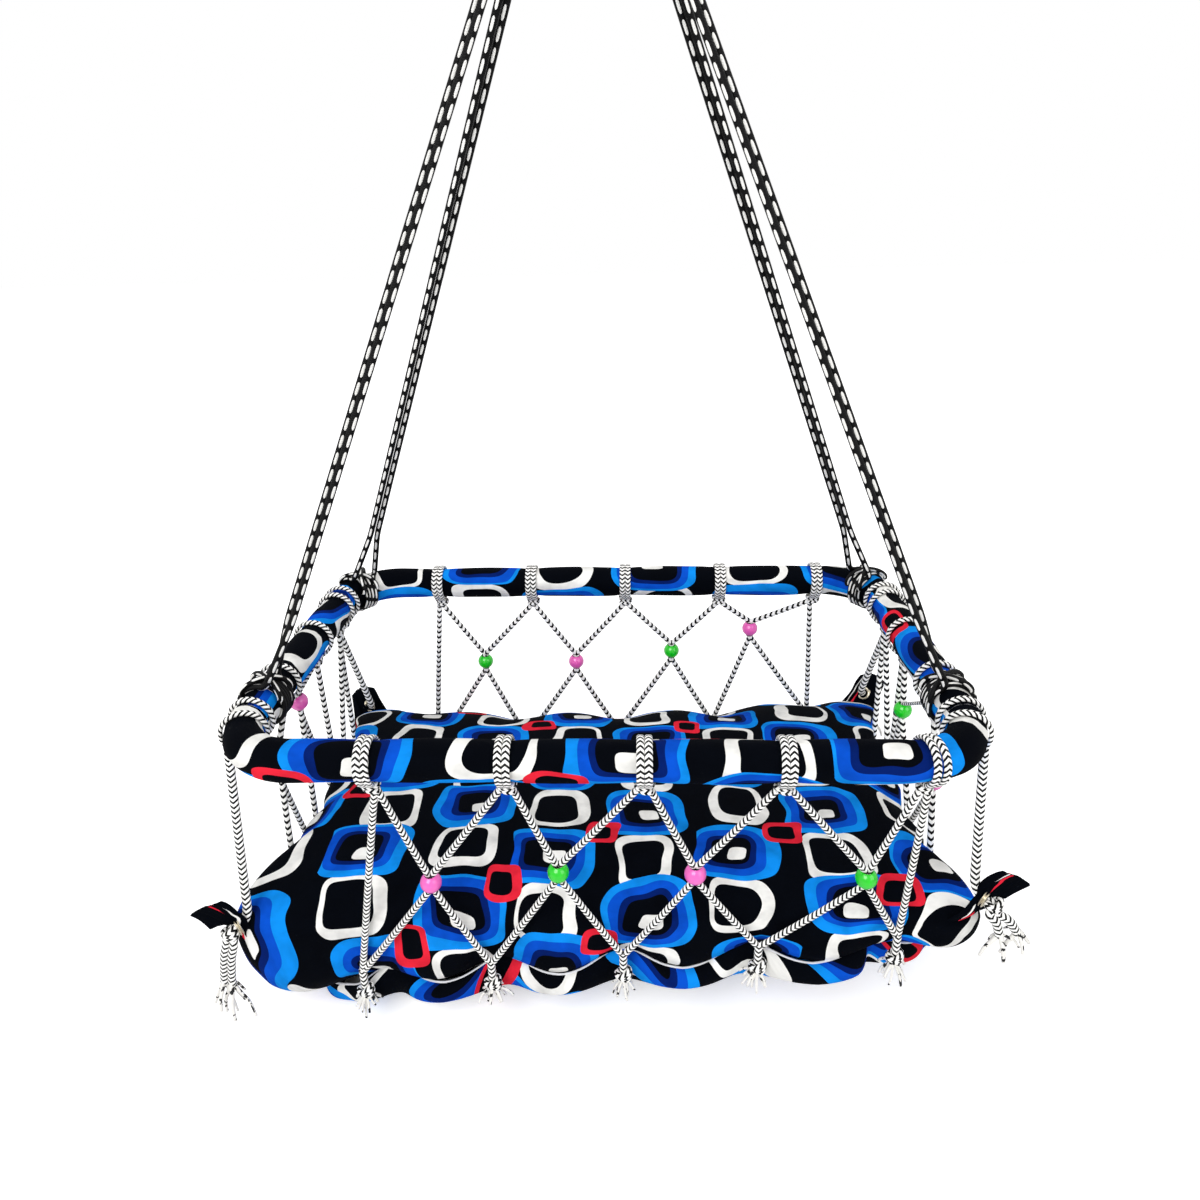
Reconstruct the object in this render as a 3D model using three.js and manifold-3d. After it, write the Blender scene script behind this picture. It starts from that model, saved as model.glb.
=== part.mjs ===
// A hanging baby cradle: a padded ring with netted sides and a cushion bed, hung by four doubled ropes
// from a steel ring on an S-hook. Lengths are in millimetres. +X runs along the cradle, -Y is its front
// and +Z is up. The origin is the inside top of the S-hook, where a ceiling hook carries the cradle.

import * as THREE from 'three';
import Module from 'manifold-3d';
import { mergeVertices } from 'three/addons/utils/BufferGeometryUtils.js';

const wasm = await Module();
wasm.setup();

// Top ring: its outside size over the padding, and what is in the padding
const ringLength = 700;
const ringWidth = 444;
const railDiameter = 38;
const cornerRadius = 65;
const clothThickness = 1.5;
const pipeDiameter = 25;
const pipeWall = 1.5;
const joinerLength = 60;
const pipeSlit = 0.6;

// Ropes, the head where they meet, and the metal that carries them
const ropeRise = 775;
const ropeDiameter = 7;
const lashingSlack = 0.8;
const tailBend = 8;
const tailShift = 3.5;
const gatherReach = 90;
const gatherGap = 1.4;
const frontLashingShare = 0.49;
const backLashingShare = 0.4;
const headDiameter = 30;
const headLength = 40;
const headSlotRadius = 11;
const headStraight = 12;
const loopDiameter = 12;
const loopDrop = 24;
const whippingDiameter = 5;
const whippingSlack = 0.6;
const steelRingWire = 8;
const steelRingBore = 40;
const hookWire = 9;
const hookUpperBore = 36;
const hookLowerBore = 28;
const hookSpan = 80;
const linkPlay = 0.5;

// Net: cords, wraps round the rail, ties under the bed and beads
const cordDiameter = 7;
const wrapSpacingShare = 0.172;
const frontWrapShare = 0.059;
const backWrapShare = 0.0286;
const tieSpacingShare = 0.1836;
const frontTieShare = 0.0286;
const backTieShare = 0.0115;
const neckLength = 22;
const neckDiameter = 9;
const knotDiameter = 14;
const tasselLength = 26;
const tasselDiameter = 4;
const tieStraight = 12;
const beadDiameter = 20;
const beadPlay = 0.5;
const cornerCordDiameter = 9;
const cornerTasselLength = 76;
const tasselSpreadShare = 0.25;
const frontCornerWrapReach = 20;
const backCornerWrapReach = 2;

// Bed: cushion and base sheet, with the tabs and eyelets at the sheet's corners
const bedDepth = 236;
const bedTiltShare = 0.1;
const cushionCrown = 62;
const crownLevelShare = 0.7;
const cushionBelly = 36;
const cushionLobe = 9;
const cushionInset = 6;
const sheetThickness = 4;
const sheetOverhang = 26;
const rimDraw = 12;
const sheetHolePlay = 1.4;
const tabLength = 36;
const tabTipDraw = 8;
const eyeletRises = { front: [94, 68], back: [80, 30] };
const eyeletBoreDiameter = 11;
const eyeletBarrelWall = 1.2;
const eyeletFlange = 2.5;
const eyeletFlangeThickness = 1;
const eyeletInset = 19;

// Gap between touching pieces, the reach of a cutter past what it cuts, and the weld of equal points
const seatGap = 0.35;
const cutOverrun = 5;
const weldDistance = 0.001;

// Counts
const cornerSteps = 5;
const loopSteps = 16;
const loopSides = 6;
const frontLashingTurns = 3;
const backLashingTurns = 2;
const whippingTurns = 3;
const cordSides = 5;
const neckSides = 6;
const wrapSegments = 8;
const holeSides = 8;

// Ring centre line, walked anticlockwise seen from above, from the middle of the front rail
const halfLength = (ringLength - railDiameter) / 2;
const halfWidth = (ringWidth - railDiameter) / 2;
const straightX = halfLength - cornerRadius;
const straightY = halfWidth - cornerRadius;
const cornerRun = cornerRadius * Math.PI / 2;
const ringPieces = [straightX, cornerRun, 2 * straightY, cornerRun, 2 * straightX, cornerRun, 2 * straightY,
  cornerRun, straightX];
const ringRun = ringPieces.reduce((sum, piece) => sum + piece, 0);
const cornerSagitta = cornerRadius * (1 - Math.cos(Math.PI / 4 / cornerSteps));

// Levels from the hook down: the two hook bends, the steel ring, the rope head and the ring's plane
const hookUpperRadius = (hookUpperBore + hookWire) / 2;
const hookLowerRadius = (hookLowerBore + hookWire) / 2;
const hookUpperLevel = -hookUpperBore / 2;
const hookLowerLevel = hookUpperLevel - hookSpan;
const rockLevel = hookLowerLevel - hookLowerRadius;
const steelRingRadius = (steelRingBore + steelRingWire) / 2;
const steelRingLevel = rockLevel + (hookWire + steelRingWire) / 2 + linkPlay - steelRingRadius;
const swayLevel = steelRingLevel - steelRingRadius;
const headTop = swayLevel - loopDrop;
const headBottom = headTop - headLength;
const ringLevel = headBottom - ropeRise;

const up = new THREE.Vector3(0, 0, 1);
const lathAxis = new THREE.Vector3(0, 1, 0);

const root = new THREE.Group();
const cradle = new THREE.Group();
cradle.position.z = ringLevel;
root.add(cradle);

// A curve through given points alone, each with the direction in which its cross-section faces.
class PointPath extends THREE.Curve {
  constructor(points, directions) {
    super();
    this.points = points;
    this.directions = directions ?? points.map((point, index) => {
      const before = points[Math.max(index - 1, 0)];
      const after = points[Math.min(index + 1, points.length - 1)];
      const arriving = point.clone().sub(before).normalize();
      const leaving = after.clone().sub(point).normalize();
      return arriving.add(leaving).normalize();
    });
  }

  getUtoTmapping(share) {
    return share;
  }

  getPoint(share, target = new THREE.Vector3()) {
    return target.copy(this.points[Math.round(share * (this.points.length - 1))]);
  }

  getTangent(share, target = new THREE.Vector3()) {
    return target.copy(this.directions[Math.round(share * (this.points.length - 1))]);
  }
}

function polygon(shape, radius, sides) {
  for (let side = 0; side < sides; side++) {
    const angle = 2 * Math.PI * side / sides;
    const x = radius * Math.cos(angle);
    const y = radius * Math.sin(angle);
    if (side === 0) shape.moveTo(x, y);
    else shape.lineTo(x, y);
  }
  shape.closePath();
  return shape;
}

// A rod or, with a bore, an open tube along the points.
function tube(points, radius, sides, bore = 0, directions = undefined) {
  const section = polygon(new THREE.Shape(), radius, sides);
  if (bore > 0) section.holes.push(polygon(new THREE.Path(), bore, sides));
  return new THREE.ExtrudeGeometry(section, {
    steps: points.length - 1,
    extrudePath: new PointPath(points, directions),
    bevelEnabled: false,
  });
}

// A body of revolution about the given axis, from a closed profile of [radius, height] pairs.
function turned(profile, segments, point, axis) {
  const outline = [...profile, profile[0]].map(([radius, height]) => new THREE.Vector2(radius, height));
  const geometry = new THREE.LatheGeometry(outline, segments);
  geometry.applyQuaternion(new THREE.Quaternion().setFromUnitVectors(lathAxis, axis));
  return geometry.translate(point.x, point.y, point.z);
}

function solid(geometry) {
  const bare = geometry.clone();
  bare.deleteAttribute('normal');
  bare.deleteAttribute('uv');
  const merged = mergeVertices(bare, weldDistance);
  return new wasm.Manifold(new wasm.Mesh({
    numProp: 3,
    vertProperties: new Float32Array(merged.attributes.position.array),
    triVerts: new Uint32Array(merged.index.array),
  }));
}

function geometryOf(manifold) {
  const mesh = manifold.getMesh();
  const geometry = new THREE.BufferGeometry();
  geometry.setAttribute('position', new THREE.BufferAttribute(mesh.vertProperties, 3));
  geometry.setIndex(new THREE.BufferAttribute(mesh.triVerts, 1));
  return geometry;
}

function joined(geometries) {
  return geometryOf(geometries.map(solid).reduce((sum, next) => sum.add(next)));
}

function addPart(parent, name, geometry, colour, roughness, metalness) {
  const material = new THREE.MeshStandardMaterial({ color: colour, roughness, metalness });
  const mesh = new THREE.Mesh(geometry, material);
  mesh.name = name;
  parent.add(mesh);
}

const metal = (parent, name, geometry) => addPart(parent, name, geometry, '#b9bcc0', 0.3, 1);
const rope = (parent, name, geometry) => addPart(parent, name, geometry, '#17171a', 0.8, 0);
const braid = (parent, name, geometry) => addPart(parent, name, geometry, '#e9e7e1', 0.8, 0);
const fabric = (parent, name, geometry) => addPart(parent, name, geometry, '#1c57c4', 0.85, 0);

// The ring's centre line at a run: the point, the way ahead and the way out of the ring.
function railAt(run) {
  let left = THREE.MathUtils.euclideanModulo(run, ringRun);
  let heading = 0;
  const point = new THREE.Vector3(0, -halfWidth, 0);
  for (let piece = 0; piece < ringPieces.length && left > 0; piece++) {
    const step = Math.min(left, ringPieces[piece]);
    const ahead = new THREE.Vector3(Math.cos(heading), Math.sin(heading), 0);
    const inward = new THREE.Vector3(-Math.sin(heading), Math.cos(heading), 0);
    if (piece % 2 === 0) {
      point.addScaledVector(ahead, step);
    } else {
      const angle = step / cornerRadius;
      point.addScaledVector(ahead, cornerRadius * Math.sin(angle));
      point.addScaledVector(inward, cornerRadius * (1 - Math.cos(angle)));
      heading += angle;
    }
    left -= step;
  }
  return {
    point,
    ahead: new THREE.Vector3(Math.cos(heading), Math.sin(heading), 0),
    outward: new THREE.Vector3(Math.sin(heading), -Math.cos(heading), 0),
  };
}

const rightRun = (y) => straightX + cornerRun + straightY + y;
const leftRun = (y) => ringRun - rightRun(y);
const backRun = (x) => ringRun / 2 - x;

// The runs at which a tube along the rail needs a cross-section.
function railStations(from, to) {
  const stations = [from];
  for (const lap of [-ringRun, 0]) {
    let start = lap;
    ringPieces.forEach((piece, index) => {
      for (let step = 0; index % 2 === 1 && step <= cornerSteps; step++) {
        const run = start + piece * step / cornerSteps;
        if (run > from + weldDistance && run < to - weldDistance) stations.push(run);
      }
      start += piece;
    });
  }
  stations.push(to);
  return stations;
}

function railTube(from, to, radius, sides, bore) {
  const places = railStations(from, to).map(railAt);
  return tube(places.map((place) => place.point), radius, sides, bore, places.map((place) => place.ahead));
}

// Pipe in two halves, the plugs that join them, and the foam and cloth sleeves
const pipeSides = 8;
const foamSides = pipeSides;
const clothSides = 12;
const inradiusShare = (sides) => Math.cos(Math.PI / sides);
const pipeRadius = pipeDiameter / 2;
const pipeBore = pipeRadius - pipeWall;
const joinerRadius = pipeBore - seatGap / inradiusShare(pipeSides);
const railRadius = railDiameter / 2;
const clothBore = railRadius - clothThickness;
const foamRadius = clothBore * inradiusShare(clothSides) - seatGap;
const foamBore = pipeRadius + seatGap / inradiusShare(foamSides);

function addFrame() {
  metal(cradle, 'pipe_right', railTube(pipeSlit / 2, ringRun / 2 - pipeSlit / 2, pipeRadius, pipeSides, pipeBore));
  metal(cradle, 'pipe_left', railTube(ringRun / 2 + pipeSlit / 2, ringRun - pipeSlit / 2, pipeRadius, pipeSides,
    pipeBore));
  metal(cradle, 'joiner_front', railTube(-joinerLength / 2, joinerLength / 2, joinerRadius, pipeSides, 0));
  metal(cradle, 'joiner_back', railTube(backRun(joinerLength / 2), backRun(-joinerLength / 2), joinerRadius,
    pipeSides, 0));
  const frontEnd = straightX + cornerRun;
  const sleeves = {
    front: [-frontEnd, frontEnd],
    right: [frontEnd, frontEnd + 2 * straightY],
    back: [ringRun / 2 - frontEnd, ringRun / 2 + frontEnd],
    left: [ringRun / 2 + frontEnd, ringRun - frontEnd],
  };
  for (const [side, [from, to]] of Object.entries(sleeves)) {
    const start = from + seatGap / 2;
    const end = to - seatGap / 2;
    addPart(cradle, `foam_${side}`, railTube(start, end, foamRadius, foamSides, foamBore), '#d9d4c4', 0.95, 0);
    fabric(cradle, `cloth_${side}`, railTube(start, end, railRadius, clothSides, clothBore));
  }
}

// The least gap between two stretches of one tube that aren't neighbours, measured on points.
function leastGap(points, diameter) {
  const fine = new THREE.CurvePath();
  for (let index = 1; index < points.length; index++) {
    fine.add(new THREE.LineCurve3(points[index - 1], points[index]));
  }
  const samples = fine.getSpacedPoints(points.length * 4);
  const stride = fine.getLength() / (samples.length - 1);
  const apart = Math.ceil(Math.PI * diameter / stride);
  let least = Infinity;
  samples.forEach((sample, index) => {
    for (let other = index + apart; other < samples.length; other++) {
      least = Math.min(least, sample.distanceTo(samples[other]) - diameter);
    }
  });
  return least;
}

function reportGap(name, points, diameter) {
  console.log(`${name}: least gap to itself ${leastGap(points, diameter).toFixed(2)} mm`);
}

// Where the eight rope strands leave the head, anticlockwise from the front right
const strandCount = 8;
function headSlot(index) {
  const angle = 2 * Math.PI * (index + 0.5) / strandCount - Math.PI / 2;
  return new THREE.Vector3(headSlotRadius * Math.cos(angle), headSlotRadius * Math.sin(angle), headBottom - ringLevel);
}

// One doubled rope: two strands down from the head, side by side to where they part over the rail, and the
// lashing that joins them round it.
function addRope(name, run, firstSlot, pitch, turns, extraSlack) {
  const radius = (railRadius + seatGap + extraSlack + ropeDiameter / 2) / Math.cos(Math.PI / loopSteps);
  const width = pitch * turns;
  const leadSteps = 2;
  const pairWay = headSlot(firstSlot + 1).sub(headSlot(firstSlot)).normalize();
  const tails = [-1, 1].map((side, index) => {
    const slot = headSlot(firstSlot + index);
    const bend = slot.clone().setZ(slot.z - headStraight);
    const middle = railAt(run);
    const rising = bend.clone().sub(middle.point).normalize();
    const square = rising.clone().projectOnPlane(middle.ahead).normalize();
    const shoulder = railAt(run + side * (width / 2 + tailShift)).point.addScaledVector(square, radius);
    const gather = middle.point.clone().addScaledVector(rising, gatherReach)
      .addScaledVector(pairWay, side * (ropeDiameter + gatherGap) / 2);
    const aim = gather.clone().sub(shoulder).normalize();
    const at = (reach) => shoulder.clone().addScaledVector(aim, reach - radius);
    const strandFoot = at(radius + tailBend + ropeDiameter + seatGap);
    const strand = [strandFoot, gather, bend, slot.clone().setZ(slot.z - seatGap)];
    rope(cradle, `strand_${name}_${index + 1}`, tube(strand, ropeDiameter / 2, 8));
    return { aim, tip: at(radius + tailBend + ropeDiameter), root: at(radius + tailBend) };
  });
  const facing = Math.atan2(tails[0].aim.z, tails[0].aim.dot(railAt(run).outward));
  const ringPoint = (step) => {
    const place = railAt(run + pitch * (step / loopSteps) - width / 2);
    const angle = facing + 2 * Math.PI * step / loopSteps;
    return place.point.addScaledVector(place.outward, radius * Math.cos(angle)).addScaledVector(up, radius * Math.sin(angle));
  };
  const lastStep = turns * loopSteps;
  const coil = [];
  for (let step = leadSteps; step <= lastStep - leadSteps; step++) coil.push(ringPoint(step));
  const bendInto = (tail, first, second) => {
    const along = second.clone().sub(first).normalize();
    const curve = new THREE.CubicBezierCurve3(
      tail.root,
      tail.root.clone().addScaledVector(tail.aim, -tailBend),
      first.clone().addScaledVector(along, -tailBend),
      first,
    );
    return [tail.tip, ...curve.getPoints(leadSteps + 1).slice(0, -1)];
  };
  const lead = bendInto(tails[0], coil[0], coil[1]);
  const trail = bendInto(tails[1], coil[coil.length - 1], coil[coil.length - 2]).reverse();
  const points = [...lead, ...coil, ...trail];
  reportGap(`lashing_${name}`, points, ropeDiameter);
  rope(cradle, `lashing_${name}`, tube(points, ropeDiameter / 2, loopSides));
}

function addRopes() {
  const sidePitch = ropeDiameter + lashingSlack;
  const innerShare = (cornerRadius - railRadius - ropeDiameter) / cornerRadius;
  const cornerPitch = sidePitch / innerShare;
  const cornerStart = straightX + cornerRun + 2 * straightY;
  const backPlace = cornerStart + cornerRun * backLashingShare;
  const frontPlace = halfWidth * frontLashingShare;
  addRope('front_right', rightRun(-frontPlace), 0, sidePitch, frontLashingTurns, 0);
  addRope('back_right', backPlace, 2, cornerPitch, backLashingTurns, cornerSagitta);
  addRope('back_left', ringRun - backPlace, 4, cornerPitch, backLashingTurns, cornerSagitta);
  addRope('front_left', leftRun(-frontPlace), 6, sidePitch, frontLashingTurns, 0);
}

// Rope head: the gathered ropes, their loop round the steel ring, and the whipping
function addHead() {
  const headRadius = headDiameter / 2;
  const loopRadius = (steelRingWire + loopDiameter) / 2 + linkPlay;
  const bightSteps = 8;
  const neckInset = headRadius - loopDiameter / 2;
  const loop = [new THREE.Vector3(-neckInset, 0, headTop - loopDiameter / 2)];
  for (let step = 0; step <= bightSteps; step++) {
    const angle = Math.PI * (1 - step / bightSteps);
    loop.push(new THREE.Vector3(loopRadius * Math.cos(angle), 0, swayLevel + loopRadius * Math.sin(angle)));
  }
  loop.push(new THREE.Vector3(neckInset, 0, headTop - loopDiameter / 2));
  const core = tube([new THREE.Vector3(0, 0, headBottom), new THREE.Vector3(0, 0, headTop)], headRadius, 12);
  rope(root, 'rope_head', joined([core, tube(loop, loopDiameter / 2, 8)]));

  const radius = (headRadius + seatGap + whippingDiameter / 2) / Math.cos(Math.PI / loopSteps);
  const pitch = whippingDiameter + whippingSlack;
  const middle = (headTop + headBottom) / 2;
  const winding = [];
  for (let step = 0; step <= whippingTurns * loopSteps; step++) {
    const angle = 2 * Math.PI * step / loopSteps;
    const level = middle + pitch * (step / loopSteps - whippingTurns / 2);
    winding.push(new THREE.Vector3(radius * Math.cos(angle), radius * Math.sin(angle), level));
  }
  const runOut = (end, inner) => end.clone().addScaledVector(end.clone().sub(inner).normalize(), whippingDiameter);
  winding.unshift(runOut(winding[0], winding[1]));
  winding.push(runOut(winding[winding.length - 1], winding[winding.length - 2]));
  reportGap('whipping', winding, whippingDiameter);
  rope(root, 'whipping', tube(winding, whippingDiameter / 2, loopSides));
}

// S-hook and steel ring
function addMetalwork() {
  const arcStep = Math.PI / 9;
  const lean = Math.asin((hookUpperRadius + hookLowerRadius) / hookSpan);
  const points = [];
  const arc = (level, radius, from, to) => {
    const steps = Math.round(Math.abs(to - from) / arcStep);
    for (let step = 0; step <= steps; step++) {
      const angle = from + (to - from) * step / steps;
      points.push(new THREE.Vector3(radius * Math.cos(angle), 0, level + radius * Math.sin(angle)));
    }
  };
  const tipOpening = Math.PI / 18;
  arc(hookUpperLevel, hookUpperRadius, Math.PI + tipOpening, -lean);
  arc(hookLowerLevel, hookLowerRadius, Math.PI - lean, 2 * Math.PI - tipOpening);
  const wireSides = 8;
  metal(root, 's_hook', tube(points, hookWire / 2, wireSides));
  const profile = [];
  for (let side = 0; side < wireSides; side++) {
    const angle = 2 * Math.PI * side / wireSides;
    profile.push([steelRingRadius + steelRingWire / 2 * Math.cos(angle), steelRingWire / 2 * Math.sin(angle)]);
  }
  const centre = new THREE.Vector3(0, 0, steelRingLevel);
  metal(root, 'steel_ring', turned(profile, 20, centre, new THREE.Vector3(1, 0, 0)));
}

// Bed levels, below the ring's plane: the bed leans a little along X, and the sheet's corners stand up as tabs to
// their eyelets, left and right ones in front and behind
const sheetHalfX = halfLength + sheetOverhang;
const sheetHalfY = halfWidth + sheetOverhang;
const cornerReach = (sheetHalfX + sheetHalfY) / Math.SQRT2;
const eyeletX = sheetHalfX - eyeletInset / Math.SQRT2;
const eyeletY = sheetHalfY - eyeletInset / Math.SQRT2;

const bedRise = (x) => x * bedTiltShare;

function tabSlope(x, y) {
  const [left, right] = y < 0 ? eyeletRises.front : eyeletRises.back;
  return (x < 0 ? left : right) / (tabLength - eyeletInset);
}

function sheetTop(x, y) {
  const past = (Math.abs(x) + Math.abs(y)) / Math.SQRT2 - (cornerReach - tabLength);
  return bedRise(x) - bedDepth + tabSlope(x, y) * Math.max(past, 0);
}

function knotAndTassel(centre, length, strands) {
  const knot = new THREE.SphereGeometry(knotDiameter / 2, 6, 4);
  const solids = [knot.translate(centre.x, centre.y, centre.z)];
  for (let strand = 0; strand < strands; strand++) {
    const angle = 2 * Math.PI * strand / strands;
    const spread = length * tasselSpreadShare;
    const tip = centre.clone().addScaledVector(up, -length);
    tip.x += spread * Math.cos(angle);
    tip.y += spread * Math.sin(angle);
    solids.push(tube([centre, tip], tasselDiameter / 2, 4));
  }
  return solids;
}

// A wrap of two cords side by side round the rail.
function wrapBand(run) {
  const place = railAt(run);
  const onCorner = Math.abs(place.outward.x * place.outward.y) > weldDistance;
  const slack = onCorner ? seatGap + cornerSagitta : seatGap;
  const inner = (railRadius + slack) / inradiusShare(wrapSegments);
  const outer = inner + cordDiameter;
  const dip = outer - cordDiameter / 4;
  const profile = [[inner, -cordDiameter], [outer, -cordDiameter / 2], [dip, 0], [outer, cordDiameter / 2],
    [inner, cordDiameter]];
  return turned(profile, wrapSegments, place.point, place.ahead);
}

const neckEnd = (bead, side) => bead.clone().addScaledVector(up, side * neckLength / 2);

const bandMiddle = railRadius + seatGap + cordDiameter / 2;

// A net side: wraps and ties are runs along the rail, beads are {run, depth}, and each route is the wrap, the bead
// or null, the tie and the side of the wrap that one cord leaves from.
function netSide(wraps, ties, beads, routes) {
  const tiePoints = ties.map((run) => {
    const point = railAt(run).point;
    return point.setZ(sheetTop(point.x, point.y));
  });
  const beadPoints = beads.map((bead) => railAt(bead.run).point.setZ(-bead.depth));
  const solids = wraps.map(wrapBand);
  for (const [wrap, bead, tie, side] of routes) {
    const place = railAt(wraps[wrap]);
    const start = place.point.addScaledVector(up, -bandMiddle).addScaledVector(place.ahead, side * cordDiameter / 2);
    const end = tiePoints[tie].clone().addScaledVector(up, tieStraight);
    const legs = bead === null ? [[start, end]] : [[start, neckEnd(beadPoints[bead], 1)],
      [neckEnd(beadPoints[bead], -1), end]];
    for (const leg of legs) solids.push(tube(leg, cordDiameter / 2, cordSides));
  }
  for (const point of beadPoints) {
    solids.push(tube([neckEnd(point, 1), neckEnd(point, -1)], neckDiameter / 2, neckSides));
  }
  for (const tie of tiePoints) {
    const drop = sheetThickness + seatGap + knotDiameter / 2;
    const knot = tie.clone().addScaledVector(up, -drop);
    const stemTop = tie.clone().addScaledVector(up, tieStraight + cordDiameter / 2);
    solids.push(tube([stemTop, knot], cordDiameter / 2, cordSides), ...knotAndTassel(knot, tasselLength, 2));
  }
  return { geometry: joined(solids), beadPoints, tiePoints };
}

function beadGeometry(point) {
  const segments = 10;
  const bore = (neckDiameter / 2 + beadPlay) / inradiusShare(segments);
  const radius = beadDiameter / 2;
  const lip = Math.acos(bore / radius);
  const arcPoints = 5;
  const profile = [];
  for (let step = 0; step < arcPoints; step++) {
    const angle = lip * (2 * step / (arcPoints - 1) - 1);
    profile.push([radius * Math.cos(angle), radius * Math.sin(angle)]);
  }
  return turned(profile, segments, point, up);
}

const pink = '#ff69c8';
const green = '#12d81c';

function addBeads(side, points, colours) {
  points.forEach((point, index) => {
    addPart(cradle, `bead_${side}_${index + 1}`, beadGeometry(point), colours[index], 0.25, 0);
  });
}

const wrapCount = 5;
const wrapSpacing = ringLength * wrapSpacingShare;
const tieSpacing = ringLength * tieSpacingShare;

function longNet(runOf, wrapShare, tieShare, shiftShares, depthShares) {
  const wrapPlace = (index) => ringLength * wrapShare + wrapSpacing * (index - (wrapCount - 1) / 2);
  const tiePlace = (index) => ringLength * tieShare + tieSpacing * (index - (wrapCount - 1) / 2);
  const places = [...Array(wrapCount).keys()];
  const routes = [[0, null, 0, 1], [wrapCount - 1, null, wrapCount - 1, 1]];
  for (let cell = 0; cell < wrapCount - 1; cell++) {
    routes.push([cell, cell, cell + 1, 1]);
    routes.push([cell + 1, cell, cell, -1]);
  }
  const beads = shiftShares.map((shift, cell) => ({
    run: runOf(wrapPlace(cell) + wrapSpacing * (1 / 2 + shift)),
    depth: bedDepth * depthShares[cell],
  }));
  return netSide(places.map((index) => runOf(wrapPlace(index))), places.map((index) => runOf(tiePlace(index))),
    beads, routes);
}

// Places along the side rails, as shares of half the ring's width, back to front
const sideWrapShares = [0.58, 0.19, -0.31, -0.655];
const sideTieShares = [0.54, 0.2, -0.22, -0.58];
const rightBeads = [{ placeShare: 0.1, depthShare: 0.35 }, { placeShare: -0.46, depthShare: 0.41 }];
const leftBeads = [{ placeShare: -0.14, depthShare: 0.18 }, { placeShare: -0.5, depthShare: 0.34 }];
const sideRoutes = [[0, null, 0, 1], [0, null, 1, -1], [1, null, 1, 1], [1, 0, 2, -1], [2, 0, 1, 1], [2, 1, 3, -1],
  [3, 1, 2, 1]];

function sideNet(runOf, places) {
  const beads = places.map((bead) => ({ run: runOf(halfWidth * bead.placeShare), depth: bedDepth * bead.depthShare }));
  return netSide(sideWrapShares.map((share) => runOf(halfWidth * share)),
    sideTieShares.map((share) => runOf(halfWidth * share)), beads, sideRoutes);
}

const frontNet = longNet((x) => x, frontWrapShare, frontTieShare, [-0.15, -0.16, -0.12, 0.16],
  [0.568, 0.513, 0.517, 0.53]);
const backNet = longNet(backRun, backWrapShare, backTieShare, [-0.08, -0.06, 0, -0.15],
  [0.487, 0.49, 0.424, 0.288]);
const rightNet = sideNet(rightRun, rightBeads);
const leftNet = sideNet(leftRun, leftBeads);

function addNets() {
  braid(cradle, 'net_front', frontNet.geometry);
  braid(cradle, 'net_back', backNet.geometry);
  braid(cradle, 'net_right', rightNet.geometry);
  braid(cradle, 'net_left', leftNet.geometry);
  addBeads('front', frontNet.beadPoints, [pink, green, pink, green]);
  addBeads('back', backNet.beadPoints, [green, pink, green, pink]);
  addBeads('right', rightNet.beadPoints, [green, pink]);
  addBeads('left', leftNet.beadPoints, [pink, green]);
}

// Each corner of the sheet: where its eyelet sits and the way its tab faces
const corners = [['front_left', -1, -1], ['front_right', 1, -1], ['back_right', 1, 1], ['back_left', -1, 1]];

function eyeletPlace(signX, signY) {
  const x = signX * eyeletX;
  const y = signY * eyeletY;
  const slope = tabSlope(x, y) / Math.SQRT2;
  const normal = new THREE.Vector3(-signX * slope - bedTiltShare, -signY * slope, 1).normalize();
  return { point: new THREE.Vector3(x, y, sheetTop(x, y) - sheetThickness / 2), normal };
}

const eyeletBore = eyeletBoreDiameter / 2;
const eyeletBarrel = eyeletBore + eyeletBarrelWall;

function addEyelets() {
  for (const [name, signX, signY] of corners) {
    const { point, normal } = eyeletPlace(signX, signY);
    const inside = sheetThickness * normal.z / 2 + seatGap;
    const outside = inside + eyeletFlangeThickness;
    const flange = eyeletBarrel + eyeletFlange;
    const profile = [[eyeletBore, -outside], [flange, -outside], [flange, -inside], [eyeletBarrel, -inside],
      [eyeletBarrel, inside], [flange, inside], [flange, outside], [eyeletBore, outside]];
    metal(cradle, `eyelet_${name}`, turned(profile, holeSides, point, normal));
  }
}

// Corner cords: a wrap on the ring's corner, the cord down to the eyelet, and its knot and frayed ends
function addCornerCords() {
  const cornerRuns = {
    front_right: rightRun(-straightY - frontCornerWrapReach),
    back_right: rightRun(straightY + backCornerWrapReach),
    back_left: leftRun(straightY + backCornerWrapReach),
    front_left: leftRun(-straightY - frontCornerWrapReach),
  };
  const radius = cornerCordDiameter / 2;
  for (const [name, signX, signY] of corners) {
    const place = railAt(cornerRuns[name]);
    const { point, normal } = eyeletPlace(signX, signY);
    const flangeFace = sheetThickness * normal.z / 2 + seatGap + eyeletFlangeThickness;
    const knot = point.clone().addScaledVector(normal, -flangeFace - seatGap - knotDiameter / 2);
    const above = point.clone().addScaledVector(normal, flangeFace + cornerCordDiameter);
    const start = place.point.clone().addScaledVector(up, -bandMiddle);
    const solids = [wrapBand(cornerRuns[name]), tube([start, above, knot], radius, 6)];
    solids.push(...knotAndTassel(knot, cornerTasselLength, 3));
    braid(cradle, `corner_cord_${name}`, joined(solids));
  }
}

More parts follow.
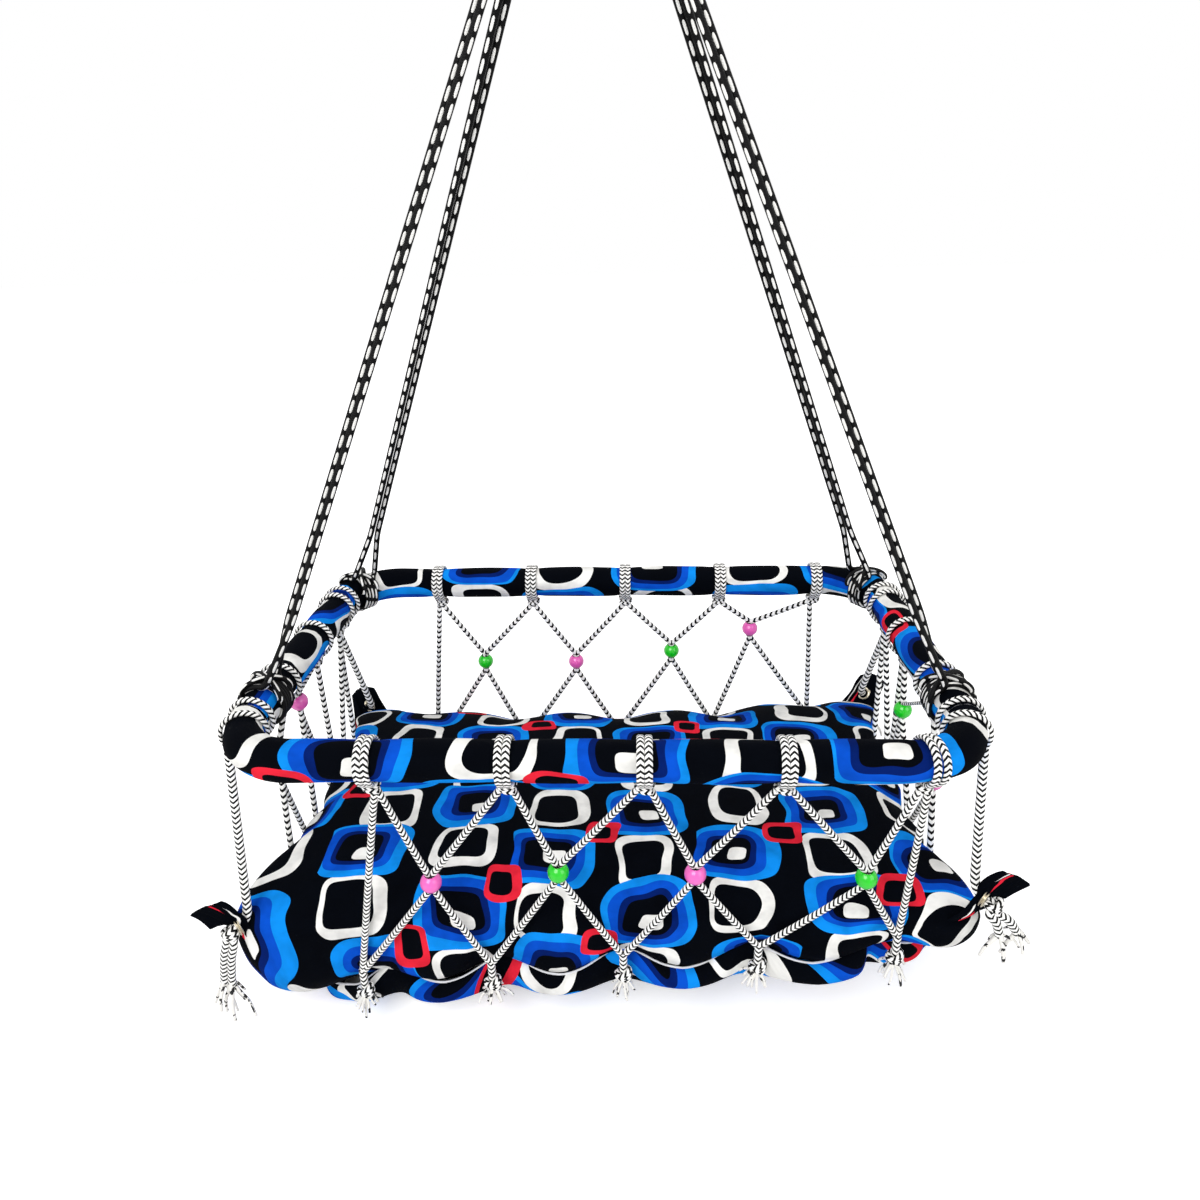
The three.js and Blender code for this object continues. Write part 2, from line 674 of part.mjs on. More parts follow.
// Base sheet: a thin panel with folded corners, holes for the ties and holes for the eyelets
function sheetGeometry() {
  const columns = 8;
  const rows = 7;
  const foldX = sheetHalfX - tabLength * Math.SQRT2;
  const foldY = sheetHalfY - tabLength * Math.SQRT2;
  const spread = (half, fold, count) => {
    const inner = [...Array(count - 3).keys()].map((step) => fold * (2 * step / (count - 4) - 1));
    const middle = (half + fold) / 2;
    return [-half, -middle, ...inner, middle, half];
  };
  const xs = spread(sheetHalfX, foldX, columns);
  const ys = spread(sheetHalfY, foldY, rows);
  const positions = [];
  for (const drop of [0, sheetThickness]) {
    for (const y of ys) {
      for (const x of xs) {
        const tip = Math.abs(x) === sheetHalfX && Math.abs(y) === sheetHalfY;
        const onTab = Math.abs(x) > foldX && Math.abs(y) > foldY;
        const draw = tip ? tabTipDraw : onTab ? 0 : rimDraw;
        const px = Math.sign(x) * Math.min(Math.abs(x), sheetHalfX - draw);
        const py = Math.sign(y) * Math.min(Math.abs(y), sheetHalfY - draw);
        positions.push(px, py, sheetTop(px, py) - drop);
      }
    }
  }
  const across = xs.length;
  const layer = across * ys.length;
  const faces = [];
  const quad = (a, b, c, d) => faces.push(a, b, c, a, c, d);
  for (let row = 0; row < ys.length - 1; row++) {
    for (let column = 0; column < across - 1; column++) {
      const near = row * across + column;
      const far = near + across;
      const cut = Math.sign(xs[column] + xs[column + 1]) * Math.sign(ys[row] + ys[row + 1]) > 0;
      if (cut) {
        faces.push(near, near + 1, far, near + 1, far + 1, far);
        faces.push(layer + near, layer + far, layer + near + 1, layer + near + 1, layer + far, layer + far + 1);
      } else {
        quad(near, near + 1, far + 1, far);
        quad(layer + near, layer + far, layer + far + 1, layer + near + 1);
      }
    }
  }
  const wall = (a, b) => quad(a, layer + a, layer + b, b);
  for (let column = 0; column < across - 1; column++) {
    wall(column, column + 1);
    wall(layer - column - 1, layer - column - 2);
  }
  for (let row = 0; row < ys.length - 1; row++) {
    wall((row + 1) * across, row * across);
    wall(row * across + across - 1, (row + 1) * across + across - 1);
  }
  const geometry = new THREE.BufferGeometry();
  geometry.setAttribute('position', new THREE.Float32BufferAttribute(positions, 3));
  geometry.setIndex(faces);
  return geometry;
}

function addSheet() {
  let body = solid(sheetGeometry());
  const punch = (point, axis, radius, reach) => {
    const ends = [-1, 1].map((side) => point.clone().addScaledVector(axis, side * reach));
    body = body.subtract(solid(tube(ends, radius, holeSides)));
  };
  const tieHole = (cordDiameter / 2 + sheetHolePlay) / inradiusShare(holeSides);
  for (const net of [frontNet, backNet, rightNet, leftNet]) {
    for (const tie of net.tiePoints) punch(tie, up, tieHole, sheetThickness + cutOverrun);
  }
  const eyeletHole = (eyeletBarrel + seatGap) / inradiusShare(holeSides);
  for (const [, signX, signY] of corners) {
    const { point, normal } = eyeletPlace(signX, signY);
    punch(point, normal, eyeletHole, sheetThickness + cutOverrun);
  }
  fabric(cradle, 'base_sheet', geometryOf(body));
}

// Cushion: a crowned pad whose sides draw in at each tie, on a flat underside
function cushionGeometry() {
  const around = 40;
  const levels = 12;
  const halfX = halfLength - cushionInset;
  const halfY = halfWidth - cushionInset;
  const middle = -bedDepth + seatGap + cushionBelly;
  const outlinePower = 1 / 3;
  const topReachPower = 2 / 3;
  const topRisePower = 5 / 4;
  const bottomReachPower = 1 / 4;
  const bottomRisePower = 1;
  const signedPower = (value, power) => Math.sign(value) * Math.abs(value) ** power;
  const positions = [];
  const ringPointAt = (level, step) => {
    const polar = Math.PI * level / levels;
    const top = level <= levels / 2;
    const reach = Math.sin(polar) ** (top ? topReachPower : bottomReachPower);
    const rise = Math.abs(Math.cos(polar)) ** (top ? topRisePower : bottomRisePower);
    const turn = 2 * Math.PI * step / around;
    const x = signedPower(Math.cos(turn), outlinePower);
    const y = signedPower(Math.sin(turn), outlinePower);
    const lobe = Math.cos(Math.PI * (x * halfX - ringLength * frontTieShare) / tieSpacing) ** 2;
    const draw = cushionLobe * lobe * Math.abs(Math.sin(polar)) * Math.abs(y) ** 4;
    const px = x * halfX * reach;
    const py = Math.sign(y) * (Math.abs(y) * halfY - draw) * reach;
    const follow = top ? 1 - crownLevelShare * rise : 1;
    const pz = middle + (top ? cushionCrown * rise : -cushionBelly * rise) + bedRise(px) * follow;
    return [px, py, pz];
  };
  positions.push(0, 0, middle + cushionCrown);
  for (let level = 1; level < levels; level++) {
    for (let step = 0; step < around; step++) positions.push(...ringPointAt(level, step));
  }
  positions.push(0, 0, middle - cushionBelly);
  const at = (level, step) => 1 + (level - 1) * around + step % around;
  const last = 1 + (levels - 1) * around;
  const faces = [];
  for (let step = 0; step < around; step++) {
    faces.push(0, at(1, step), at(1, step + 1));
    faces.push(last, at(levels - 1, step + 1), at(levels - 1, step));
    for (let level = 1; level < levels - 1; level++) {
      faces.push(at(level, step), at(level + 1, step), at(level + 1, step + 1));
      faces.push(at(level, step), at(level + 1, step + 1), at(level, step + 1));
    }
  }
  const geometry = new THREE.BufferGeometry();
  geometry.setAttribute('position', new THREE.Float32BufferAttribute(positions, 3));
  geometry.setIndex(faces);
  return geometry;
}

addMetalwork();
addHead();
addRopes();
addFrame();
addNets();
addCornerCords();
addEyelets();
addSheet();
fabric(cradle, 'cushion', cushionGeometry());

export default root;
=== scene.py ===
"""The hanging baby cradle, dressed: soft ring, netted sides, cushion bed, ropes and metalwork.

Lengths inside the classes are millimetres, measured from the middle of the ring's centre plane. +X runs
along the cradle, -Y is its front and +Z is up. Meshes are moved to metres in the frame when they are made.
"""

import logging
import math
from dataclasses import dataclass, field
from enum import Enum
from typing import Any, Iterable, Sequence

import bmesh
import bpy
import numpy as np
from mathutils import Matrix, Vector


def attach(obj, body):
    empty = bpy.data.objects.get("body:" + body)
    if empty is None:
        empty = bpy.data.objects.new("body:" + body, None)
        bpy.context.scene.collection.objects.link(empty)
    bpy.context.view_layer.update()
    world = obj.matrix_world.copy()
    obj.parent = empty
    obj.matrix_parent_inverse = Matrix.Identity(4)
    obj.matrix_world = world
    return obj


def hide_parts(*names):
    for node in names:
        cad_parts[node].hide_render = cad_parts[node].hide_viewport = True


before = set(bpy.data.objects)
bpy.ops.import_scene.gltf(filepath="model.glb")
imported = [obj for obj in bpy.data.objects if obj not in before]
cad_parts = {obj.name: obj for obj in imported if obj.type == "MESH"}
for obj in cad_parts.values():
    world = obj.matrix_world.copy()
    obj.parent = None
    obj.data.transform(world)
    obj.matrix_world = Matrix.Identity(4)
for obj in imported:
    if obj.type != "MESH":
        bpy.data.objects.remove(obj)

log = logging.getLogger("cradle")

Array = np.ndarray
Tree = bpy.types.NodeTree
Node = bpy.types.Node
Socket = bpy.types.NodeSocket
Pair = tuple[float, float]
Triple = tuple[float, float, float]
Look = tuple[dict[str, Any], Socket]
Route = tuple[int, int | None, int, int]

METRES = 0.001
RING_LEVEL = -994.5
UP = np.array([0.0, 0.0, 1.0])
FRONT = np.array([0.0, -1.0, 0.0])


class Body(Enum):
    """The moving bodies of the frame."""

    HOOK = "hook"
    RING = "swing_ring"
    CRADLE = "cradle"


class Side(Enum):
    """The four sides of the ring."""

    FRONT = "front"
    RIGHT = "right"
    BACK = "back"
    LEFT = "left"


class EndCap(Enum):
    """How a swept form ends."""

    FLAT = "flat"
    ROUND = "round"


# Colour and shader helpers


def linear(code: str, level: float = 1.0) -> tuple[float, float, float, float]:
    """Turn an sRGB hex colour into linear values.

    Args:
        code: the colour as "#rrggbb".
        level: how bright it becomes, as a share of the colour's own brightness.

    Returns:
        Red, green, blue and an alpha of 1.
    """
    parts = [int(code[start : start + 2], 16) / 255 for start in (1, 3, 5)]
    red, green, blue = (p / 12.92 if p <= 0.04045 else ((p + 0.055) / 1.055) ** 2.4 for p in parts)
    return red * level, green * level, blue * level, 1.0


def per(size: float) -> float:
    """Return how often a size in millimetres goes into a metre."""
    return 1 / (size * METRES)


def add_node(tree: Tree, kind: str, settings: dict[str, Any], inputs: dict[Any, Any]) -> Node:
    """Add one node with its settings, values and links.

    Args:
        tree: the node tree it joins.
        kind: the node's type, without the words ShaderNode.
        settings: properties of the node by name.
        inputs: values or sockets by the input's name or number.

    Returns:
        The new node.
    """
    node = tree.nodes.new(f"ShaderNode{kind}")
    for name, value in settings.items():
        setattr(node, name, value)
    for key, value in inputs.items():
        if isinstance(value, Socket):
            tree.links.new(value, node.inputs[key])
        else:
            node.inputs[key].default_value = value
    return node


def chain(tree: Tree, value: Any, *steps: tuple, kind: str = "Math") -> Socket:
    """Run a value through nodes of one kind, one after another.

    Args:
        tree: the node tree.
        value: the socket or number that goes in.
        steps: each node's operation and its other operands.
        kind: the nodes' type, as for add_node.

    Returns:
        The last node's first output.
    """
    for operation, *operands in steps:
        inputs = dict(enumerate([value, *operands]))
        value = add_node(tree, kind, {"operation": operation}, inputs).outputs[0]
    return value


def layered(tree: Tree, colour: Any, layers: Iterable[tuple[Socket, Any]]) -> Socket:
    """Return a colour with others laid over it, each where its own mask is 1."""
    for mask, tone in layers:
        colour = add_node(tree, "Mix", {"data_type": "RGBA"}, {0: mask, 6: colour, 7: tone}).outputs[2]
    return colour


def placed(name: str, data: Any) -> bpy.types.Object:
    """Make an object and put it in the scene."""
    made = bpy.data.objects.new(name, data)
    bpy.context.scene.collection.objects.link(made)
    return made


@dataclass(frozen=True)
class Finish:
    """A surface finish, made once as a material. Its relief is the height of its bump in millimetres."""

    name: str
    roughness: float
    relief: float = 0.2

    def material(self) -> bpy.types.Material:
        """Return this finish's material, made at its first use."""
        made = bpy.data.materials.get(self.name)
        if made is None:
            made = bpy.data.materials.new(self.name)
            made.use_nodes = True
            tree = made.node_tree
            tree.nodes.clear()
            place = add_node(tree, "TexCoord", {}, {}).outputs["Object"]
            cut = add_node(tree, "UVMap", {"uv_map": "cut"}, {}).outputs[0]
            look, height = self.look(tree, place, cut)
            raised = {"Strength": 1.0, "Distance": self.relief * METRES, "Height": height}
            normal = add_node(tree, "Bump", {}, raised).outputs[0]
            look = {"Roughness": self.roughness, "Normal": normal, **look}
            shader = add_node(tree, "BsdfPrincipled", {}, look)
            add_node(tree, "OutputMaterial", {}, {"Surface": shader.outputs[0]})
        return made

    def look(self, tree: Tree, place: Socket, cut: Socket) -> Look:
        """Say what is this finish's own.

        Args:
            tree: the node tree.
            place: the point in the piece's own space, in metres.
            cut: the point on the unrolled surface, in metres.

        Returns:
            The shader's own inputs by name, and the surface's height from 0 to 1.
        """
        raise NotImplementedError


@dataclass(frozen=True)
class PlatedSteel(Finish):
    """Drawn steel wire or tube with bright zinc plating: a cool grey shine with fine cloudy dulling."""

    relief: float = 0.03
    tone: str = "#c3c6c9"
    crystal: float = 2.5
    dulling: float = 0.25

    def look(self, tree: Tree, place: Socket, cut: Socket) -> Look:
        """Metal with a cloudy roughness."""
        inputs = {"Vector": place, "Scale": per(self.crystal), "Detail": 4.0}
        clouds = add_node(tree, "TexNoise", {}, inputs).outputs["Fac"]
        # The noise lies round one half, so about half the dulling is taken off again
        rough = chain(tree, clouds, ("MULTIPLY_ADD", self.dulling, self.roughness - 0.12))
        return {"Base Color": linear(self.tone), "Metallic": 1.0, "Roughness": rough}, clouds


@dataclass(frozen=True)
class OpenCellFoam(Finish):
    """Polyurethane foam pipe sleeve: dull cream with open cells."""

    relief: float = 0.3
    tone: str = "#d9d4c4"
    # The darker colour is painted shadow for the pits of the open cells
    painted_pit_shadow: str = "#a89f86"
    cell: float = 1.2

    def look(self, tree: Tree, place: Socket, cut: Socket) -> Look:
        """Cells as small pits, darkened with painted shadow."""
        inputs = {"Vector": place, "Scale": per(self.cell)}
        cells = add_node(tree, "TexVoronoi", {}, inputs).outputs["Distance"]
        # Painted shadow: the darker colour is laid by the distance from each cell's middle
        return {"Base Color": layered(tree, linear(self.tone), [(cells, linear(self.painted_pit_shadow))])}, cells


@dataclass(frozen=True)
class FleckedRope(Finish):
    """Braided polypropylene rope, 7 mm: glossy black yarns with one pair of white yarns that show as long
    flecks, first on one side and then on the other."""

    relief: float = 0.3
    shine: float = 0.12
    black: str = "#050506"
    white: str = "#f4f3ef"
    around: float = 22.0
    lay: float = 16.5
    yarn: float = 2.2
    yarns: float = 6.0
    columns: float = 2.0
    # A fleck's half length as a share of the lay, and its half width as a share of a column
    fleck: Pair = (0.37, 0.125)

    def look(self, tree: Tree, place: Socket, cut: Socket) -> Look:
        """White flecks on black, on the braid's crossing yarns."""
        parts = add_node(tree, "SeparateXYZ", {}, {0: cut}).outputs
        across = chain(tree, parts[0], ("MULTIPLY", per(self.around)))
        along = chain(tree, parts[1], ("MULTIPLY", per(self.lay)))
        # Columns of flecks round the rope, each half a lay further on than the last
        columns = chain(tree, across, ("MULTIPLY", self.columns))
        shifted = chain(tree, columns, ("FLOOR",), ("MULTIPLY", 1 / self.columns), ("ADD", along))
        inside, run = (chain(tree, value, ("FRACT",), ("SUBTRACT", 0.5), ("ABSOLUTE",))
                       for value in (columns, shifted))
        oval = chain(tree, run, ("MULTIPLY", 1 / self.fleck[0]), ("POWER", 4.0))
        fleck = chain(tree, inside, ("MULTIPLY", 1 / self.fleck[1]), ("POWER", 2.0), ("ADD", oval),
                      ("LESS_THAN", 1.0))
        colour = layered(tree, linear(self.black), [(fleck, linear(self.white))])
        yarns = chain(tree, parts[1], ("MULTIPLY", 2 * math.pi * per(self.yarn)), ("SINE",))
        height = chain(tree, across, ("MULTIPLY", 2 * math.pi * self.yarns), ("SINE",),
                       ("MULTIPLY", yarns), ("MULTIPLY_ADD", 0.5, 0.5), ("ADD", fleck))
        return {"Base Color": colour, "Specular IOR Level": self.shine}, height


@dataclass(frozen=True)
class ChevronBraid(Finish):
    """Flat braided cord, 8 mm: white polyester with a black tracer yarn that draws chevrons along it.
    The real chevrons are 4.2 mm apart; they are drawn 5.3 mm apart so that they show in the render."""

    relief: float = 0.4
    shine: float = 0.15
    white: str = "#fdfcf9"
    black: str = "#050506"
    pitch: float = 5.3
    slope: float = 0.75
    tracer: float = 0.44

    def look(self, tree: Tree, place: Socket, cut: Socket) -> Look:
        """Chevrons in colour and as raised yarns."""
        parts = add_node(tree, "SeparateXYZ", {}, {0: cut}).outputs
        out = chain(tree, parts[0], ("ABSOLUTE",), ("MULTIPLY", self.slope))
        beat = chain(tree, parts[1], ("ADD", out), ("MULTIPLY", per(self.pitch)), ("FRACT",),
                     ("SUBTRACT", 0.5), ("ABSOLUTE",), ("MULTIPLY", 2.0))
        mark = chain(tree, beat, ("LESS_THAN", self.tracer))
        colour = layered(tree, linear(self.white), [(mark, linear(self.black))])
        height = chain(tree, beat, ("POWER", 0.5))
        return {"Base Color": colour, "Specular IOR Level": self.shine}, height


@dataclass(frozen=True)
class FrayedYarn(Finish):
    """The same cord's yarns where they have come loose: soft white fibres with black ones among them."""

    white: str = "#efede8"
    black: str = "#161618"
    fibre: float = 0.5
    patch: float = 6.0
    share: float = 0.42

    def look(self, tree: Tree, place: Socket, cut: Socket) -> Look:
        """Each yarn white or black in stretches, its fibres running along it."""
        parts = add_node(tree, "SeparateXYZ", {}, {0: cut}).outputs
        along = add_node(tree, "CombineXYZ", {}, {0: parts[2], 1: parts[1], 2: 0.0}).outputs[0]
        patches, fibres = (
            add_node(tree, "TexNoise", {}, {"Vector": where, "Scale": per(size), "Detail": 2.0}).outputs[0]
            for where, size in ((place, self.patch), (along, self.fibre)))
        mark = chain(tree, patches, ("LESS_THAN", self.share))
        return {"Base Color": layered(tree, linear(self.white), [(mark, linear(self.black))])}, fibres


@dataclass(frozen=True)
class PressedBead(Finish):
    """Injection-moulded polystyrene bead: one clear bright colour under a glossy skin."""

    relief: float = 0.04
    tone: str = "#ff69c8"
    ripple: float = 4.0
    coat: float = 0.5

    def look(self, tree: Tree, place: Socket, cut: Socket) -> Look:
        """Bright gloss with a faint moulding ripple."""
        inputs = {"Vector": place, "Scale": per(self.ripple), "Detail": 1.0}
        ripple = add_node(tree, "TexNoise", {}, inputs).outputs["Fac"]
        colour = layered(tree, linear(self.tone), [(ripple, linear(self.tone, 0.82))])
        return {"Base Color": colour, "Coat Weight": self.coat}, ripple


@dataclass(frozen=True)
class PrintedCotton(Finish):
    """Plain-weave cotton, roller printed on black: large nested rounded squares in two blues with a white
    heart, and white and red rings laid between them. The weave's threads are 0.45 mm apart; they are drawn
    0.9 mm apart so that they show."""

    relief: float = 0.12
    shine: float = 0.02
    ground: str = "#04060c"
    royal: str = "#0a52cc"
    sky: str = "#108eee"
    navy: str = "#051f66"
    white: str = "#f6f5f1"
    red: str = "#e8283c"
    columns: float = 93.0
    rows: float = 138.0
    thread: float = 0.9
    mottle: float = 22.0
    # How long and how wide the print's lines waver
    waver: Pair = (60.0, 24.0)
    shift: Pair = (0.0, 0.0)
    # Half sizes of the motifs, outside in
    white_ring: tuple[Pair, Pair] = ((30.0, 32.0), (21.5, 23.5))
    blue_patch: tuple[Pair, ...] = ((43.0, 38.0), (35.5, 31.5), (26.5, 23.5), (21.0, 18.5), (9.5, 8.0))
    heart_shift: Triple = (3.0, -6.0, 0.0)
    red_ring: tuple[Pair, Pair] = ((19.0, 17.0), (12.0, 10.5))
    red_share: float = 0.5
    # How far white, blue and red motifs stray from their blocks' middles, and their inner forms from them
    jitters: Triple = (9.0, 8.0, 5.0)
    strays: Triple = (4.0, 5.0, 3.0)

    def cell(self, tree: Tree, where: Socket, shift: Pair, jitter: float) -> tuple[Socket, Any]:
        """Repeat a block of cloth, every second column half a block lower.

        Args:
            tree: the node tree.
            where: the point on the cloth, in metres.
            shift: how far the first block is moved, in shares of the block.
            jitter: how far a motif strays from its block's middle, in millimetres.

        Returns:
            The point from its own block's middle in millimetres, and three chance values of that block.
        """
        size = (self.columns * METRES, self.rows * METRES, 1.0)
        scaled = chain(tree, where, ("DIVIDE", size), ("ADD", (*shift, 0)), kind="VectorMath")
        parts = add_node(tree, "SeparateXYZ", {}, {0: scaled}).outputs
        lower = chain(tree, parts[0], ("FLOOR",), ("MULTIPLY", 0.5), ("FRACT",), ("ADD", parts[1]))
        brick = add_node(tree, "CombineXYZ", {}, {0: parts[0], 1: lower, 2: 0.0}).outputs[0]
        corner = chain(tree, brick, ("FLOOR",), kind="VectorMath")
        chance = add_node(tree, "TexWhiteNoise", {"noise_dimensions": "3D"}, {0: corner}).outputs["Color"]
        stray = chain(tree, chance, ("MULTIPLY", (2 * jitter, 2 * jitter, 0.0)), kind="VectorMath")
        middle = (-self.columns / 2 + jitter, -self.rows / 2 + jitter, 0.0)
        local = chain(tree, brick, ("SUBTRACT", corner),
                      ("MULTIPLY_ADD", (self.columns, self.rows, 0.0), middle), ("SUBTRACT", stray),
                      kind="VectorMath")
        return local, add_node(tree, "SeparateXYZ", {}, {0: chance}).outputs

    def squircle(self, tree: Tree, local: Socket, half: Pair, shift: Any = (0.0, 0.0, 0.0)) -> Socket:
        """Return 1 inside a rounded rectangle of that half size, in millimetres, round the shifted middle."""
        sized = chain(tree, local, ("SUBTRACT", shift), ("DIVIDE", (*half, 1.0)), ("ABSOLUTE",),
                      kind="VectorMath")
        parts = add_node(tree, "SeparateXYZ", {}, {0: sized}).outputs
        other = chain(tree, parts[1], ("POWER", 4.0))
        return chain(tree, parts[0], ("POWER", 4.0), ("ADD", other), ("LESS_THAN", 1.0))

    def stray(self, tree: Tree, chance: Any, size: float) -> Socket:
        """Return a chance shift of up to that many millimetres for a motif's inner forms."""
        aside, down = (chain(tree, value, ("SUBTRACT", 0.5), ("MULTIPLY", 2 * size))
                       for value in (chance[0], chance[2]))
        return add_node(tree, "CombineXYZ", {}, {0: aside, 1: down, 2: 0.0}).outputs[0]

    def layers(self, tree: Tree, drawn: Socket) -> list[tuple[Socket, str]]:
        """Draw the print's layers.

        Args:
            tree: the node tree.
            drawn: the wavering point on the cloth, in metres.

        Returns:
            From the lowest up, the mask that each fills and its colour.
        """
        sx, sy = self.shift
        # White rings, some of them thick on one side
        local, chance = self.cell(tree, drawn, (sx, sy + 0.5), self.jitters[0])
        outer, hole = self.white_ring
        found = [(self.squircle(tree, local, outer), self.white),
                 (self.squircle(tree, local, hole, self.stray(tree, chance, self.strays[0])), self.ground)]
        # Blue motifs: sky outside, royal inside it, then black and a white heart
        local, chance = self.cell(tree, drawn, self.shift, self.jitters[1])
        inner = self.stray(tree, chance, self.strays[1])
        shifts = ((0.0, 0.0, 0.0), inner, inner, inner, self.heart_shift)
        tones = (self.sky, self.royal, self.navy, self.ground, self.white)
        found += [(self.squircle(tree, local, half, shift), tone)
                  for half, shift, tone in zip(self.blue_patch, shifts, tones)]
        # Small red rings in some of the gaps between the columns
        local, chance = self.cell(tree, drawn, (sx + 0.5, sy + 0.25), self.jitters[2])
        some = chain(tree, chance[1], ("LESS_THAN", self.red_share))
        outer, hole = self.red_ring
        rings = ((self.squircle(tree, local, outer), self.red),
                 (self.squircle(tree, local, hole, self.stray(tree, chance, self.strays[2])), self.ground))
        return found + [(chain(tree, mask, ("MULTIPLY", some)), tone) for mask, tone in rings]

    def look(self, tree: Tree, place: Socket, cut: Socket) -> Look:
        """The print's colours laid one over another, unevenly dyed, on the weave."""
        long, wide = self.waver
        wave = add_node(tree, "TexNoise", {}, {"Vector": cut, "Scale": per(long), "Detail": 1.0})
        reach = (wide * METRES, wide * METRES, 0.0)
        drawn = chain(tree, wave.outputs["Color"], ("SUBTRACT", (0.5, 0.5, 0.5)),
                      ("MULTIPLY_ADD", reach, cut), kind="VectorMath")
        layers = [(mask, linear(tone)) for mask, tone in self.layers(tree, drawn)]
        colour = layered(tree, linear(self.ground), layers)
        # The cloth takes dye a little unevenly
        inputs = {"Vector": cut, "Scale": per(self.mottle), "Detail": 3.0}
        mottle = add_node(tree, "TexNoise", {}, inputs).outputs["Fac"]
        level = chain(tree, mottle, ("MULTIPLY_ADD", 0.9, 0.46), ("MINIMUM", 1.0))
        dyed = add_node(tree, "Mix", {"data_type": "RGBA", "blend_type": "MULTIPLY"},
                        {0: 1.0, 6: colour, 7: level})
        look = {"Base Color": dyed.outputs[2], "Specular IOR Level": self.shine}
        return look, self.weave(tree, cut, mottle)

    def weave(self, tree: Tree, cut: Socket, mottle: Socket) -> Socket:
        """Return the height of the threads over the cloth's own small unevenness."""
        parts = add_node(tree, "SeparateXYZ", {}, {0: cut}).outputs
        warp, weft = (chain(tree, part, ("MULTIPLY", 2 * math.pi * per(self.thread)), ("SINE",))
                      for part in (parts[0], parts[1]))
        threads = chain(tree, warp, ("MULTIPLY", weft), ("MULTIPLY_ADD", 0.5, 0.5))
        return chain(tree, mottle, ("MULTIPLY", 1.5), ("ADD", threads))


@dataclass(frozen=True)
class CornerCotton(PrintedCotton):
    """The same cotton at the sheet's corners, where the black ground shows with a red and a white stripe."""

    # The stripes' middles, half widths and how far they wander
    red_stripe: Pair = (17.0, 2.4)
    white_stripe: Pair = (30.0, 1.2)
    wander: Pair = (20.0, 12.0)

    def look(self, tree: Tree, place: Socket, cut: Socket) -> Look:
        """Black with two stripes along the edge."""
        parts = add_node(tree, "SeparateXYZ", {}, {0: cut}).outputs
        long, wide = self.wander
        wavy, rough = (
            add_node(tree, "TexNoise", {}, {"Vector": cut, "Scale": per(size), "Detail": detail}).outputs[0]
            for size, detail in ((long, 1.0), (9.0, 3.0)))
        out = chain(tree, wavy, ("MULTIPLY_ADD", wide * METRES, -wide * METRES / 2), ("ADD", parts[0]))
        stripes = [
            (chain(tree, out, ("SUBTRACT", middle * METRES), ("ABSOLUTE",), ("LESS_THAN", half * METRES)),
             linear(tone))
            for (middle, half), tone in ((self.red_stripe, self.red), (self.white_stripe, self.white))]
        colour = layered(tree, linear(self.ground), stripes)
        look = {"Base Color": colour, "Specular IOR Level": self.shine}
        return look, self.weave(tree, cut, rough)


@dataclass(frozen=True)
class SewingThread(Finish):
    """Mercerised white cotton thread and folded cloth edge: a soft pale line."""

    tone: str = "#e6e7ec"
    twist: float = 1.2

    def look(self, tree: Tree, place: Socket, cut: Socket) -> Look:
        """Pale cotton with a fine twist."""
        inputs = {"Vector": cut, "Scale": per(self.twist), "Detail": 2.0}
        twist = add_node(tree, "TexNoise", {}, inputs).outputs["Fac"]
        return {"Base Color": layered(tree, linear(self.tone), [(twist, linear(self.tone, 0.8))])}, twist


ZINC = PlatedSteel("zinc_plated_steel_wire", 0.3)
TUBE_STEEL = PlatedSteel("galvanised_steel_tube", 0.42, tone="#a6a9ab", crystal=6.0)
NICKEL = PlatedSteel("nickel_plated_brass", 0.28, tone="#cfc5ad", crystal=1.5)
FOAM = OpenCellFoam("polyurethane_foam", 0.95)
ROPE = FleckedRope("flecked_polypropylene_rope", 0.5)
BRAID = ChevronBraid("chevron_polyester_braid", 0.72)
YARN = FrayedYarn("frayed_polyester_yarn", 0.85)
PINK = PressedBead("pink_polystyrene_bead", 0.22, tone="#ff69c8")
GREEN = PressedBead("green_polystyrene_bead", 0.22, tone="#0bd60f")
PRINT = PrintedCotton("printed_cotton", 0.82)
RAIL_PRINT = PrintedCotton("printed_cotton_on_the_rail", 0.8, shift=(0.3, 0.12))
EAR = CornerCotton("black_cotton_corner", 0.82)
EDGE = SewingThread("cotton_edge", 0.85)


# Paths and mesh making


def unit(vectors: Array) -> Array:
    """Return the vectors at length 1."""
    lengths = np.linalg.norm(vectors, axis=-1, keepdims=True)
    return vectors / np.maximum(lengths, 1e-9)


def run_along(points: Array) -> Array:
    """Return how far along a polyline each of its points lies."""
    return np.concatenate([[0.0], np.cumsum(np.linalg.norm(np.diff(points, axis=0), axis=1))])


def in_frame(points: Array) -> Array:
    """Return points given from the middle of the ring in the frame's metres."""
    return (points + [0.0, 0.0, RING_LEVEL]) * METRES


def spaced(points: Array, step: float) -> Array:
    """Return points at even steps along a polyline.

    Args:
        points: the polyline, one point a row.
        step: the distance wanted between neighbours.

    Returns:
        The new points, first and last kept.
    """
    run = run_along(points)
    count = max(2, int(round(run[-1] / step)) + 1)
    places = np.linspace(0.0, run[-1], count)
    return np.stack([np.interp(places, run, points[:, axis]) for axis in range(3)], axis=1)


def curved(points: Sequence[Array], step: float) -> Array:
    """Draw a smooth line through points.

    Args:
        points: what it goes through.
        step: the distance between its points.

    Returns:
        Its points, at even steps.
    """
    knots = np.array(points, dtype=float)
    padded = np.concatenate([[2 * knots[0] - knots[1]], knots, [2 * knots[-1] - knots[-2]]])
    fine = []
    for index in range(1, len(padded) - 2):
        before, start, end, after = padded[index - 1 : index + 3]
        share = np.linspace(0.0, 1.0, 13)[:, None]
        first = (end - before) * 0.5
        last = (after - start) * 0.5
        square, cube = share**2, share**3
        fine.append((2 * cube - 3 * square + 1) * start + (cube - 2 * square + share) * first
                    + (3 * square - 2 * cube) * end + (cube - square) * last)
    return spaced(np.concatenate(fine), step)


